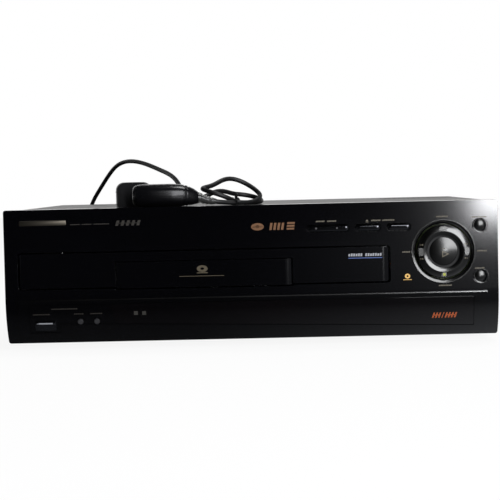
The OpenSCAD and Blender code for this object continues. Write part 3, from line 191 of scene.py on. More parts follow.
# ---------- Plug ----------
# Two moulded half shells round a core, with a seam along the middle and grip ribs near
# the tail. A clear boot tapers onto the lead, and two flat blades stand in the adapter.
PLUG_Y = -131
PLUG_SECTIONS = (  # x, half width, half height, height of the middle, all in mm
    (-104, 6.5, 5.4, 130.4), (-103.4, 9.6, 7.6, 130.4), (-101.8, 12.4, 9.1, 130.4),
    (-100.4, 13.4, 9.6, 130.4), (-100.3, 13.0, 9.2, 130.4), (-99.5, 13.2, 9.3, 130.4),
    (-99.4, 13.9, 9.8, 130.4), (-95, 15.4, 10.15, 130.4), (-85, 16, 10.2, 130.4),
    (-70, 15.7, 10.2, 130.4), (-62, 14.2, 9.8, 130.2), (-58.6, 12.9, 9.4, 130), (-58.4, 12.3, 8.8, 130),
    (-57.5, 12, 8.7, 129.9), (-57.3, 12.4, 9.2, 129.9), (-55.4, 11.3, 8.8, 129.7),
    (-55.2, 10.7, 8.2, 129.6), (-54.3, 10.3, 8, 129.5), (-54.1, 10.7, 8.4, 129.5),
    (-50, 8.2, 7, 128.9), (-46.5, 6, 5.4, 127.9), (-45.6, 4.6, 4.2, 127.6),
)


def ring_at(mesh, middle, across, upward, count=48, square=1.0):
    """A closed row of vertices round middle. Below 1, square fills out the oval's corners."""
    made = bmesh.ops.create_circle(mesh, cap_ends=False, radius=1, segments=count)["verts"]
    for vert in made:
        x, y = vert.co.x, vert.co.y
        vert.co = (
            middle + across * math.copysign(abs(x) ** square, x)
            + upward * math.copysign(abs(y) ** square, y)
        )
    return list({edge for vert in made for edge in vert.link_edges})


def skin(mesh, rings):
    """Joins a row of rings with faces, and closes both ends."""
    for one, other in zip(rings, rings[1:]):
        bmesh.ops.bridge_loops(mesh, edges=one + other)
    for end in (rings[0], rings[-1]):
        bmesh.ops.edgeloop_fill(mesh, edges=end)


def cut_off(mesh, at, normal):
    """Takes away what lies past the plane through at, on the side that normal points to."""
    everything = mesh.verts[:] + mesh.edges[:] + mesh.faces[:]
    return bmesh.ops.bisect_plane(
        mesh, geom=everything, plane_co=at, plane_no=normal, clear_outer=True)["geom_cut"]


def make_piece(name, mesh, body, material, replaces=()):
    """Turns a bmesh into a piece that rides on a body, smooth but for edges over 30 degrees."""
    bmesh.ops.recalc_face_normals(mesh, faces=mesh.faces)
    data = bpy.data.meshes.new(name)
    mesh.to_mesh(data)
    mesh.free()
    data.shade_smooth()
    data.set_sharp_from_angle(angle=math.radians(30))
    piece = bpy.data.objects.new(name, data)
    bpy.context.scene.collection.objects.link(piece)
    data.materials.append(material)
    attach(piece, body)
    if replaces:
        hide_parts(*replaces)


def plug_solid(mesh, shrink, low, high):
    """The plug's outline, smaller by shrink, and cut to what lies between two heights."""
    rings = [
        ring_at(mesh, Vector((x, PLUG_Y, mid)) * MM, Vector((0, (wide - shrink) * MM, 0)),
                Vector((0, 0, (tall - shrink) * MM)), square=0.78)
        for x, wide, tall, mid in PLUG_SECTIONS
    ]
    skin(mesh, rings)
    for height, normal in ((low, (0, 0, -1)), (high, (0, 0, 1))):
        cut = cut_off(mesh, (0, 0, height * MM), normal)
        edges = [g for g in cut if isinstance(g, bmesh.types.BMEdge)]
        if edges:
            bmesh.ops.contextual_create(mesh, geom=edges)


SEAM, SEAM_GAP, CORE_INSET = 130.2, 0.22, 0.45
UNDER, OVER = 100, 160  # heights clear of the whole plug
plug_body = bmesh.new()
for shrink, low, high in ((CORE_INSET, UNDER, OVER), (0, UNDER, SEAM - SEAM_GAP), (0, SEAM + SEAM_GAP, OVER)):
    part = bmesh.new()
    plug_solid(part, shrink, low, high)
    copy = bpy.data.meshes.new("part")
    part.to_mesh(copy)
    part.free()
    plug_body.from_mesh(copy)
    bpy.data.meshes.remove(copy)
# Moulded PVC, semi-gloss with a fine orange peel
plug_pvc = finish("plug_pvc", ("#060608", "#0c0c0f"), (0.2, 0.3), grained(2.2 * MM, 0.03 * MM))
make_piece("plug_shell", plug_body, "case", plug_pvc, replaces=["mains_plug"])

BLADE_X, BLADES_Z = -97, (124.05, 136.75)
# y, half width and half thickness along a blade in mm; the last two form its rounded tip
BLADE_SECTIONS = ((-118, 3.2, 0.78), (-97.6, 3.2, 0.78), (-96, 2.9, 0.7), (-95.2, 2.2, 0.4))
pin_mesh = bmesh.new()
for z in BLADES_Z:
    rings = [
        ring_at(pin_mesh, Vector((BLADE_X, y, z)) * MM, Vector((wide * MM, 0, 0)), Vector((0, 0, thick * MM)),
                24, square=0.35)
        for y, wide, thick in BLADE_SECTIONS
    ]
    skin(pin_mesh, rings)


def brushed(pitch, depth, stretch=(0.04, 1, 1), cloud=40 * MM):
    """Fine lines drawn along one axis, the one where stretch is small."""
    def pattern(nodes, place):
        drawn = add(nodes, "Mapping", {"Vector": place, "Scale": [s / pitch for s in stretch]})
        lines = add(nodes, "TexNoise", {"Vector": drawn.outputs[0], "Scale": 1, "Detail": 3})
        clouds = add(nodes, "TexNoise", {"Vector": place, "Scale": 1 / cloud, "Detail": 2})
        return lines.outputs[0], depth, clouds.outputs[0]
    return pattern


# Nickel-plated brass: pale, a little yellow, with lengthways draw lines
plated_brass = finish("plated_brass", ("#b9b4a6", "#d0ccc0"), (0.2, 0.32),
                      brushed(0.3 * MM, 0.004 * MM, (1, 0.04, 1)), Metallic=1.0)
make_piece("plug_pins", pin_mesh, "case", plated_brass)

# x and height on the lead, and radius, in mm; the steps are the boot's moulded rings
BOOT_RINGS = (
    (-48.5, 128.3, 4.9), (-46, 127.6, 4.8), (-43.5, 126.9, 4.4), (-43.3, 126.8, 3.8), (-42.2, 126.5, 3.75),
    (-42, 126.4, 4.2), (-39.9, 125.8, 4.0), (-39.7, 125.7, 3.5), (-38.6, 125.4, 3.4), (-38.4, 125.35, 3.8),
    (-36.3, 124.85, 3.6), (-36.1, 124.8, 3.1), (-35, 124.6, 3.0), (-34.8, 124.55, 3.3), (-32.6, 124.2, 2.9),
    (-30.4, 123.95, 2.35),
)
boot_mesh = bmesh.new()
rings = []
for x, z, r in BOOT_RINGS:
    # the boot follows the lead's bend near its end, and its rings lean with the lead
    bend = 0.7 if x > -32 else 0.25 if x > -35 else 0
    rings.append(ring_at(boot_mesh, Vector((x, PLUG_Y + bend, z)) * MM,
                         Vector((0, r * MM, 0)), Vector((0.3 * r * MM, 0, 0.95 * r * MM)), 32))
skin(boot_mesh, rings)
# Clear soft PVC, slightly smoky, so that the black lead shows in it
clear_pvc = finish("clear_pvc", ("#6f706f", "#8a8a88"), (0.12, 0.22),
                   grained(1.2 * MM, 0.05 * MM, 8 * MM), Transmission_Weight=0.82, IOR=1.46)
make_piece("plug_boot", boot_mesh, "case", clear_pvc)

# ---------- Plug adapter ----------
# A drum-shaped travel adapter moulded in black. It stands on its end behind the plug, whose
# two blades are pushed into its flat side.

# The same glossy moulding compound as the plug's, a little more scuffed
adapter_abs = finish("adapter_abs", ("#08080a", "#101013"), (0.24, 0.38),
                     grained(1.5 * MM, 0.02 * MM, 14 * MM))
dress(adapter_abs, "plug_adapter")
ADAPTER_X, ADAPTER_Y, ADAPTER_FOOT, FLAT_Y = -106, -97.2, 120.2, -104.9
RIM_ROOT, RIM_R, RIM_SLOPE = 15.7, 16.35, 0.2
collar_mesh = bmesh.new()
# two raised rims round the drum, cut away where its flat face is
for low, high in ((2.2, 3.4), (13.4, 14.4)):
    rings = [
        ring_at(collar_mesh, Vector((ADAPTER_X, ADAPTER_Y, ADAPTER_FOOT + z)) * MM,
                Vector((r * MM, 0, 0)), Vector((0, r * MM, 0)), 96)
        for z, r in ((low, RIM_ROOT), (low + RIM_SLOPE, RIM_R), (high - RIM_SLOPE, RIM_R), (high, RIM_ROOT))
    ]
    skin(collar_mesh, rings)
cut_off(collar_mesh, (0, FLAT_Y * MM, 0), (0, -1, 0))
bmesh.ops.holes_fill(collar_mesh, edges=collar_mesh.edges, sides=0)
make_piece("adapter_rims", collar_mesh, "case", adapter_abs)

# ---------- Wire tie ----------
# A soft iron wire in a plastic skin, wound twice round the two front strands by hand. Its
# ends are twisted together on top.
TIE_AT = Vector((-14.3, -118.2, 123.6)) * MM
along = Vector((0.669, 0.743, 0.0))
over = Vector((0.743, -0.669, 0.0))
TIE_R = 0.8 * MM


def wire(mesh, points, radius):
    """A round wire through points, with closed ends."""
    askew = Vector((0.31, 0.17, 0.93))  # a direction that no part of the tie runs along
    rings = []
    for i, point in enumerate(points):
        run = (points[min(i + 1, len(points) - 1)] - points[max(i - 1, 0)]).normalized()
        side = run.cross(askew).normalized()
        rings.append(ring_at(mesh, point, side * radius, run.cross(side) * radius, 8))
    skin(mesh, rings)


tie_mesh = bmesh.new()
for shift in (-1.1 * MM, 0.9 * MM):
    loop = [
        TIE_AT + along * (shift + 0.8 * MM * math.sin(a / 2))
        + over * (5.2 * MM * math.cos(a)) + Vector((0, 0, 3.1 * MM * math.sin(a) + 0.1 * MM))
        for a in (math.radians(d) for d in range(-250, 71, 16))
    ]
    wire(tie_mesh, loop, TIE_R)
knot_at = TIE_AT + Vector((0, 0, 3.4 * MM)) + over * 1.5 * MM
for phase in (0, math.pi):
    twist = [
        knot_at + Vector((0, 0, k * 0.5 * MM)) + over * (k * 0.35 * MM)
        + (along * math.cos(k * 0.9 + phase) + over * math.sin(k * 0.9 + phase)) * 0.75 * MM
        for k in range(9)
    ]
    wire(tie_mesh, twist, TIE_R * 0.8)
# Smooth PVC skin over the wire: black, with a soft sheen
tie_pvc = finish("tie_pvc", ("#0e0e0f", "#161617"), (0.34, 0.46), grained(0.8 * MM, 0.01 * MM))
make_piece("wire_tie", tie_mesh, "case", tie_pvc, replaces=["cord_tie"])

# ---------- Front panel ----------
# One moulding in black ABS that carries the doors, the ring and the buttons. Its face is
# drawn out in fine level lines, and its lower part sweeps back under the player.


def level_lines(pitch, depth):
    """Fine lines along X in the height, and slow clouds in the gloss, as on a polished mould."""
    def pattern(nodes, place):
        drawn = add(nodes, "Mapping", {"Vector": place, "Scale": (6, 1 / pitch, 1 / pitch)})
        lines = add(nodes, "TexNoise", {"Vector": drawn.outputs[0], "Scale": 1, "Detail": 2})
        clouds = add(nodes, "TexNoise", {"Vector": place, "Scale": 1 / (180 * MM), "Detail": 2})
        return lines.outputs[0], depth, clouds.outputs[0]
    return pattern


def soften(width, *names, segments=2):
    """Rounds CAD pieces along their edges of more than 35 degrees, which come knife sharp."""
    for name in names:
        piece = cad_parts[name]
        weld = piece.modifiers.new("weld", "WELD")
        weld.merge_threshold = 0.01 * MM
        flat = piece.modifiers.new("flat", "DECIMATE")
        flat.decimate_type = "DISSOLVE"
        flat.angle_limit = math.radians(0.5)
        edge = piece.modifiers.new("edge", "BEVEL")
        edge.width, edge.segments = width, segments
        edge.limit_method, edge.angle_limit = "ANGLE", math.radians(35)


# Black ABS from a polished mould: a deep gloss that fine level lines soften a little
panel_abs = finish("panel_abs", ("#020203", "#030305"), (0.088, 0.105), level_lines(1.2 * MM, 0.0008 * MM))
dress(panel_abs, "front_panel")
soften(0.6 * MM, "front_panel", segments=3)

# ---------- Disc doors ----------
# Two mouldings in the panel's black ABS, fixed to the fronts of the trays. Their ends are
# pillowed, and the small door closes a notch in the foot of the large one.
dress(panel_abs, "ld_door", "cd_door")
soften(0.4 * MM, "ld_door", "cd_door")

# ---------- Lower fascia ----------
# A raised trim moulding along the foot of the panel, with a bevelled upper edge. It holds
# the display window and the narrow plate with the power button.

# The same black ABS, from a mould with a slightly duller polish
fascia_abs = finish("fascia_abs", ("#020203", "#040405"), (0.095, 0.115), level_lines(1.2 * MM, 0.0008 * MM))
dress(fascia_abs, "lower_fascia", "power_panel")
soften(0.12 * MM, "lower_fascia")
soften(0.35 * MM, "power_panel")

# ---------- Display window ----------
# Cast acrylic, smoked so dark that the tube behind shows only when lit. Its inner side is
# printed with a faint warm filter over the digits.


def smoke(nodes, place):
    """Almost even, with slow ripples from the casting and a warm patch."""
    haze = add(nodes, "TexNoise", {"Vector": place, "Scale": 1 / (110 * MM), "Detail": 1})
    ripple = add(nodes, "TexNoise", {"Vector": place, "Scale": 1 / (35 * MM), "Detail": 0})
    return ripple.outputs[0], 0.004 * MM, haze.outputs[0]


# Optical gloss, and a base that turns from neutral to a dark warm brown
smoked_acrylic = finish("smoked_acrylic", ("#030304", "#060405"), (0.05, 0.08), smoke, IOR=1.49)
dress(smoked_acrylic, "display_window")
soften(0.35 * MM, "display_window")

# Soda glass over a grey phosphor plate: clear and sharp, with a green-grey ground
tube_glass = finish("tube_glass", ("#1c2b2a", "#2b3c3a"), (0.06, 0.1), grained(3 * MM, 0.004 * MM))
dress(tube_glass, "display_tube")

# ---------- Push buttons ----------
# ABS caps on stems that reach back to the switches on the front board. The bars and the
# domed caps stand proud of the panel, and the two small round caps are sprayed silver.

# Black ABS from a fine-sparked mould, a shade paler than the panel round it
button_abs = finish("button_abs", ("#0c0d0f", "#131417"), (0.14, 0.2), grained(0.35 * MM, 0.003 * MM, 8 * MM))
dress(button_abs, "power_button", "side_button", "ld_open_button", "cd_open_button")
soften(0.25 * MM, "power_button")

# Heights on the panel are counted in mm from its foot, and its face lies at FACE_Y.
PANEL_FOOT, FACE_Y = 6, -192.25
# Thin polished shells on the three long buttons: half capsules, whose axis lies in the panel.
PILL_R, PILL_V, PILL_Y, PILL_BACK = 3.14, 93.8, FACE_Y + 0.8, FACE_Y + 0.85
LONG_BUTTONS = (("side", 48.75, 84.25), ("ld_open", 89.55, 110.95), ("cd_open", 116.35, 136.45))
# High-gloss gunmetal lacquer: dark but for sharp glints on its rounded ends
pill_lacquer = finish("pill_lacquer", ("#4c4d50", "#58595c"), (0.06, 0.09),
                      grained(0.6 * MM, 0.0005 * MM, 8 * MM), Metallic=1.0)
for button, low_x, high_x in LONG_BUTTONS:
    pill_mesh = bmesh.new()
    # from each end's tip to the straight part, and 0.5 mm along it
    arc = [math.radians(d) for d in range(1, 91, 11)]
    quarter = [(PILL_R * math.cos(a), PILL_R * math.sin(a)) for a in arc] + [(-0.5, PILL_R)]
    stations = [(low_x + PILL_R - out, r) for out, r in quarter]
    stations += [(high_x - PILL_R + out, r) for out, r in reversed(quarter)]
    rings = [
        ring_at(pill_mesh, Vector((x, PILL_Y, PILL_V + PANEL_FOOT)) * MM,
                Vector((0, r * MM, 0)), Vector((0, 0, r * MM)))
        for x, r in stations
    ]
    skin(pill_mesh, rings)
    cut_off(pill_mesh, (0, PILL_BACK * MM, 0), (0, 1, 0))
    bmesh.ops.holes_fill(pill_mesh, edges=pill_mesh.edges, sides=0)
    make_piece(button + "_shell", pill_mesh, button + "_button_body", pill_lacquer)

# Silver lacquer over ABS: a soft metallic with fine flakes
silver_lacquer = finish("silver_lacquer", ("#38383a", "#4a4a4c"), (0.28, 0.38),
                        grained(0.25 * MM, 0.004 * MM, 1.5 * MM), Metallic=0.6)
dress(silver_lacquer, "round_button_left", "round_button_right")

# ---------- Ring control ----------
# A ring that is pressed at its four sides and rocks on a gimbal. A fixed collar stands in
# it, and the domed play button in the middle moves on its own.

# Gunmetal lacquer over ABS: nearly black, but its highlights are strong and a little soft
lacquer_peel = grained(0.4 * MM, 0.001 * MM, 10 * MM)
gunmetal = finish("gunmetal", ("#585857", "#666665"), (0.16, 0.22), lacquer_peel, Metallic=1.0)
dress(gunmetal, "ring_control")
# The same lacquer on coarser blasted caps: a shade darker, with duller highlights
cap_gunmetal = finish("cap_gunmetal", ("#50504f", "#5d5d5c"), (0.22, 0.27),
                      grained(0.35 * MM, 0.002 * MM, 8 * MM), Metallic=1.0)
dress(cap_gunmetal, "play_button", "pause_button", "stop_button")
# Glass-filled nylon, matt and slightly grey
filled_nylon = finish("filled_nylon", ("#070708", "#0d0d0e"), (0.45, 0.6),
                      grained(0.8 * MM, 0.015 * MM, 6 * MM))
dress(filled_nylon, "play_collar", "ring_gimbal")

# ---------- Bezels and ledge trim ----------
# Slim ABS rings, lacquered, lie in the bevels round the ring control and the two domed caps.
# A narrow strip runs along the fascia's upper edge. All are pressed in and glued.
RING_X, RING_V = 163.75, 72
CAPS_X, CAPS_V = 195.55, (93.5, 50.5)
# radius, and depth behind the panel's face, in mm
RING_BEZEL = ((27.15, 0.02), (27.0, -0.14), (26.6, -0.18), (26.2, -0.1),
              (24.1, 0.62), (23.85, 0.8), (23.85, 1.2), (26.9, 0.1))
CAP_BEZEL = ((6.35, 0.02), (6.25, -0.12), (6.0, -0.14), (5.8, -0.08),
             (5.0, 0.24), (4.85, 0.34), (4.85, 0.6), (6.1, 0.1))


def turned(mesh, x, z, face_y, section, steps):
    """A closed section of (radius, depth behind face_y) in mm, turned round the axis at x, z."""
    centre = Vector((x, 0, z)) * MM
    row = [mesh.verts.new(centre + Vector((r, face_y + deep, 0)) * MM) for r, deep in section]
    edges = [mesh.edges.new(pair) for pair in zip(row, row[1:] + row[:1])]
    bmesh.ops.spin(mesh, geom=row + edges, cent=centre, axis=(0, 1, 0), angle=math.tau, steps=steps,
                   use_merge=True)
    bmesh.ops.remove_doubles(mesh, verts=mesh.verts, dist=0.0001 * MM)


bezel_mesh = bmesh.new()
turned(bezel_mesh, RING_X, RING_V + PANEL_FOOT, FACE_Y, RING_BEZEL, 96)
for v in CAPS_V:
    turned(bezel_mesh, CAPS_X, v + PANEL_FOOT, FACE_Y, CAP_BEZEL, 48)
# The ring's gunmetal lacquer, a shade darker: thin bright crescents where it curves
bezel_lacquer = finish("bezel_lacquer", ("#4c4c4b", "#595958"), (0.16, 0.22), lacquer_peel, Metallic=1.0)
make_piece("control_bezels", bezel_mesh, "case", bezel_lacquer)

TRIM_END = 200.4
TRIM_SECTION = (  # y, and height above the panel's foot, in mm
    (-192.3, 38.05), (-193.55, 38.05), (-193.75, 37.95), (-193.95, 36.95), (-193.9, 36.75),
    (-193.5, 36.75), (-192.3, 37.5),
)
trim_mesh = bmesh.new()
ends = [
    [trim_mesh.verts.new(Vector((x, y, v + PANEL_FOOT)) * MM) for y, v in TRIM_SECTION]
    for x in (-TRIM_END, TRIM_END)
]
for k in range(len(TRIM_SECTION)):
    n = (k + 1) % len(TRIM_SECTION)
    bmesh.ops.contextual_create(trim_mesh, geom=[ends[0][k], ends[0][n], ends[1][n], ends[1][k]])
for end in ends:
    bmesh.ops.contextual_create(trim_mesh, geom=end)
# The same lacquer, drawn along its length: one even bright line
trim_lacquer = finish("trim_lacquer", ("#565656", "#646463"), (0.14, 0.2),
                      brushed(0.3 * MM, 0.002 * MM, (0.03, 1, 1)), Metallic=1.0)
make_piece("ledge_trim", trim_mesh, "case", trim_lacquer)

# ---------- Printed marks ----------
# Legends and small badges, pad-printed on the finished mouldings and cured as a skin. They
# are bars, ticks, rings and arrows, and none of them spells a word.
INK = 0.08 * MM
surfaces = {}


def bar(x0, x1, low, high, lean=0):
    """Four corners in mm: X from the middle, height above the panel's foot; the top leans over."""
    return [(x0, low), (x1, low), (x1 + lean, high), (x0 + lean, high)]


def ticks(x0, x1, low, high, count, lean=0.3, skip=()):
    """A row of short strokes, which reads as small print from a distance."""
    step = (x1 - x0) / count
    return [
        bar(x0 + k * step, x0 + (k + 0.72) * step, low, high if k % 3 else high - 0.12 * (high - low), lean)
        for k in range(count) if k not in skip
    ]


def hoop(x, v, outer, inner, wide=1.0):
    """A flat ring as a row of four-sided pieces."""
    corner = [(math.cos(math.radians(a)) * wide, math.sin(math.radians(a))) for a in range(0, 361, 15)]
    return [
        [(x + outer * c, v + outer * s), (x + outer * d, v + outer * t),
         (x + inner * d, v + inner * t), (x + inner * c, v + inner * s)]
        for (c, s), (d, t) in zip(corner, corner[1:])
    ]


def printed(name, ink, shapes, on="front_panel", body="case"):
    """Prints shapes on the front of the node or piece on: a thin skin that follows its surface."""
    if on not in surfaces:
        carrier = bpy.data.objects[on]
        surfaces[on] = BVHTree.FromObject(carrier, bpy.context.evaluated_depsgraph_get())
    mesh = bmesh.new()
    for shape in shapes:
        corners = [mesh.verts.new((x * MM, 0, (v + PANEL_FOOT) * MM)) for x, v in shape]
        bmesh.ops.contextual_create(mesh, geom=corners)
    bmesh.ops.remove_doubles(mesh, verts=mesh.verts, dist=0.001 * MM)
    long_edges = [e for e in mesh.edges if e.calc_length() > 3 * MM]
    bmesh.ops.subdivide_edges(mesh, edges=long_edges, cuts=5, use_grid_fill=True)
    for vert in mesh.verts:
        hit = surfaces[on].ray_cast(Vector((vert.co.x, -0.25, vert.co.z)), Vector((0, 1, 0)))[0]
        vert.co.y = hit.y + INK / 4
    mesh.normal_update()
    bmesh.ops.reverse_faces(mesh, faces=[face for face in mesh.faces if face.normal.y > 0])
    bmesh.ops.solidify(mesh, geom=mesh.faces[:], thickness=-INK)
    make_piece(name, mesh, body, ink)


# Epoxy inks: matt, with the faint mottle of the pad that laid them down
inks = {}
for tint, tones in (
    ("gold", ("#575144", "#686254")), ("dim", ("#221f1b", "#2e2a24")), ("bronze", ("#3d3524", "#4f4632")),
    ("amber", ("#5c3a1c", "#744e2a")), ("orange", ("#8f3f1b", "#a85227")), ("pale", ("#83858a", "#9a9ca2")),
    ("blue", ("#3a4f86", "#4a629c")), ("green", ("#8f9436", "#a7ac4a")), ("grey", ("#3c3c3e", "#4a4a4c")),
    ("bright_gold", ("#c79a4a", "#dcb468")), ("faint", ("#2a2926", "#383632")),
):
    inks[tint] = finish(tint + "_ink", tones, (0.4, 0.55), grained(0.5 * MM, 0.004 * MM, 2.5 * MM))

# legends beside the buttons and round the ring
for place, shapes in (
    ("side_button", ticks(56, 63.6, 99.2, 100.4, 6) + ticks(65.6, 73.4, 99.2, 100.4, 6)),
    ("open_buttons", [[(98.3, 98.9), (100.7, 98.9), (99.5, 100.6)], bar(98.3, 100.7, 98.1, 98.5)]
     + ticks(102.8, 111, 99, 100.2, 6) + ticks(112.4, 122.8, 99, 100.2, 7)),
    ("ring_top", ticks(158, 168, 101, 102.2, 8)),
    ("ring_left", ticks(128.8, 135.6, 71.6, 72.8, 5)),
    ("ring_right", ticks(192.2, 200.6, 71.2, 72.4, 6)),
    ("ring_foot", ticks(159.2, 170.4, 42.5, 43.7, 8)),
    ("pause", ticks(187.8, 200.6, 100, 101.1, 9)),
    ("stop", ticks(190, 198.4, 56.6, 57.7, 6)),
):
    printed("legend_" + place, inks["gold"], shapes)

# the panel's badges: a row of ticks and slanted bars, a flat ring with bars, a small ring
printed("series_print", inks["dim"], ticks(-153, -119.5, 101.4, 102.3, 20, 0.2, (5, 11)))
printed("series_bars", inks["dim"], [bar(4.5 * k - 114.5, 4.5 * k - 112.1, 100, 104.4, 1.4) for k in range(5)]
        + [bar(-114, -93.5, 101.9, 102.4)])
printed("format_mark", inks["amber"], hoop(6.4, 96.4, 3.1, 1.1, 1.75) + [bar(1.4, 11, 95.9, 96.6)])
printed("format_bars", inks["amber"], [bar(16.4 + 3.3 * k, 18.4 + 3.3 * k, 93.4, 99.4, 1) for k in range(4)]
        + [bar(31 + d, 37.4 + d, low, low + 1.6, 0.3) for d, low in ((0, 93.4), (0.3, 95.8), (0.6, 98.2))])
printed("disc_mark", inks["bright_gold"], hoop(132.9, 51.6, 2.1, 0.8, 1.1) + [bar(129.2, 136.4, 48.3, 48.8)])

# on the doors
printed("door_bar", inks["pale"], ticks(83, 111.6, 69.4, 71.8, 14, 0.3, (6,)), "ld_door", "ld_tray_body")
printed("door_line", inks["blue"], [bar(83, 111.8, 67.6, 68.2)], "ld_door", "ld_tray_body")
printed("cd_mark", inks["bronze"], hoop(-41.4, 61.9, 2.9, 1, 1.6) + [bar(-46, -36.8, 58, 58.8)],
        "cd_door", "cd_tray_body")
printed("cd_line", inks["bronze"], [bar(-61, -23, 55.45, 55.9)], "cd_door", "cd_tray_body")

# on the window, the power button and the plate round it
slanted = [
    bar(x + 2.6 * k, x + 1.3 + 2.6 * k, 15.3, 19.9, 1.5)
    for x, count in ((153.2, 3), (164, 4)) for k in range(count)
]
printed("window_bars", inks["orange"], slanted + [
    bar(161.2, 161.9, 15.1, 20.1, 2), bar(154.2, 160.2, 17.3, 18.1), bar(165, 174, 17.3, 18.1),
], "display_window")
printed("window_squares", inks["faint"], [bar(-100.6, -97.2, 23.6, 26.9), bar(-93.6, -90.2, 23.4, 26.7)],
        "display_window")
# a pale bar painted along the power button's top edge: a painted highlight where the edge catches the light
printed("power_edge_highlight", inks["pale"], [bar(-185, -167.4, 17.2, 18.3)],
        "power_button", "power_button_body")
printed("power_print", inks["dim"], ticks(-171, -148.4, 29.6, 30.6, 12, 0.2) + [
    stroke for x0, x1, count in ((-186.8, -172.4, 9), (-151.8, -143.4, 5), (-137.8, -127.4, 6))
    for stroke in ticks(x0, x1, 25.1, 26.1, count, 0.2)
], "power_panel")

# two pips that a finger finds on the long button, and the marks of the ring and its middle
printed("side_pips", inks["grey"], hoop(56.1, PILL_V, 0.75, 0.2) + hoop(73.8, PILL_V, 0.75, 0.2),
        "side_shell", "side_button_body")
arrows = []
for side in (-1, 1):
    for rise in (-1, 1):
        x, v = RING_X + side * 19.2, RING_V + rise * 5.9
        for start in (x - 1.7 * side, x + 0.5 * side):
            arrows.append([(start, v - 0.8), (start + 1.9 * side, v), (start, v + 0.8)])
printed("ring_arrows", inks["gold"], arrows, "ring_control", "ring")
printed("ring_square", inks["green"], [bar(RING_X - 1.1, RING_X + 1.1, 51.5, 53.7)],
        "ring_control", "ring")
# an open triangle, three strokes between its outer and its inner corners
outer, inner = ((162.4, 66.9), (168.4, 69.8), (162.4, 72.7)), ((163.2, 68.2), (166.6, 69.8), (163.2, 71.4))
outline = [[outer[k], outer[k - 2], inner[k - 2], inner[k]] for k in range(3)]
printed("play_mark", inks["gold"], outline + [bar(162.2, 165.6, 74.2, 74.6)],
        "play_button", "play_button_body")

# ---------- Badge plate ----------
# A slim aluminium plate with nothing on it, stamped out with round corners. It is stuck to
# the upper left corner of the panel.
PLATE_SIZE, PLATE_AT = Vector((40.2, 0.9, 4.6)) * MM, Vector((-176.6, -192.15, 109.5)) * MM
plate_mesh = bmesh.new()
bmesh.ops.create_cube(plate_mesh, size=1)
bmesh.ops.scale(plate_mesh, verts=plate_mesh.verts, vec=PLATE_SIZE)
bmesh.ops.translate(plate_mesh, verts=plate_mesh.verts, vec=PLATE_AT)
corners = [e for e in plate_mesh.edges if abs(e.verts[0].co.y - e.verts[1].co.y) > 0.5 * MM]
bmesh.ops.bevel(plate_mesh, geom=corners, offset=1 * MM, segments=5, profile=0.5, affect="EDGES",
                material=-1)
front_rim = [e for e in plate_mesh.edges if all(v.co.y < PLATE_AT.y for v in e.verts)]
bmesh.ops.bevel(plate_mesh, geom=front_rim, offset=0.25 * MM, segments=2, profile=0.5, affect="EDGES",
                material=-1)
# Aluminium, brushed along its length and anodised a warm grey
anodised_plate = finish("anodised_plate", ("#5a554c", "#6a655b"), (0.3, 0.4),
                        brushed(0.25 * MM, 0.004 * MM, (0.03, 1, 1)), Metallic=1.0)
make_piece("badge_plate", plate_mesh, "case", anodised_plate)

# ---------- Cover and back ----------
# A sheet-steel cover bent into a tunnel and a flat rear panel, punched with cooling slots
# and held to the chassis by pan-head screws.

# Stoved acrylic enamel on steel: a dark bronze black with a fine even orange peel
enamel = finish("enamel", ("#1a1815", "#232019"), (0.34, 0.42),
                grained(0.8 * MM, 0.012 * MM, 90 * MM), IOR=1.4)
dress(enamel, "top_cover")
soften(0.35 * MM, "top_cover")
# The same steel in a flatter paint, a little dusty where air is drawn in
flat_paint = finish("flat_paint", ("#1c1c1c", "#262625"), (0.42, 0.56), grained(0.6 * MM, 0.01 * MM, 60 * MM))
dress(flat_paint, "rear_panel")
soften(0.2 * MM, "rear_panel")
# Blackened steel, worn bright grey in spots
black_oxide = finish("black_oxide", ("#2b2b2c", "#4a4a4c"), (0.3, 0.45),
                     grained(0.5 * MM, 0.01 * MM, 2 * MM), Metallic=0.9)
dress(black_oxide, "cover_screws")

# ---------- Chassis and feet ----------
# A shallow tray of zinc-plated steel sheet with pressed ribs and rows of slots. Four
# moulded feet are screwed up into it.


def spangle(nodes, place):
    """Crystals of hot-dip zinc, each with its own grey, about 9 mm across."""
    crystals = add(nodes, "TexVoronoi", {"Vector": place, "Scale": 1 / (9 * MM)})
    tone = add(nodes, "SeparateColor", {"Color": crystals.outputs["Color"]})
    grain = add(nodes, "TexNoise", {"Vector": place, "Scale": 1 / (0.6 * MM)})
    return grain.outputs[0], 0.006 * MM, tone.outputs[0]


# Galvanised sheet: a cool grey metal with its crystals just showing
galvanised = finish("galvanised", ("#8d8f90", "#a3a5a6"), (0.32, 0.46), spangle, Metallic=1.0)
dress(galvanised, "chassis")
soften(0.25 * MM, "chassis")
# Moulded rubber: matt, with a dusty bloom
moulded_rubber = finish("moulded_rubber", ("#141414", "#1f1f1e"), (0.62, 0.78),
                        grained(0.9 * MM, 0.02 * MM, 15 * MM))
FEET = ("foot_front_left", "foot_front_right", "foot_rear_left", "foot_rear_right")
dress(moulded_rubber, *FEET)
soften(0.4 * MM, *FEET)

# ---------- Rear sockets ----------
# A block of six phono sockets and a 21-pin socket, moulded in black. Each phono socket has
# a plated shell round it and a coloured disc in its mouth.

# Phenolic moulding: black and half matt, with a fine grain
phenolic = finish("phenolic", ("#121213", "#19191a"), (0.34, 0.46), grained(0.5 * MM, 0.008 * MM, 8 * MM))
dress(phenolic, "av_jack_block", "scart_socket")
soften(0.2 * MM, "av_jack_block", "scart_socket")
REAR_Y = 187.75
JACK_Z = (30, 48)
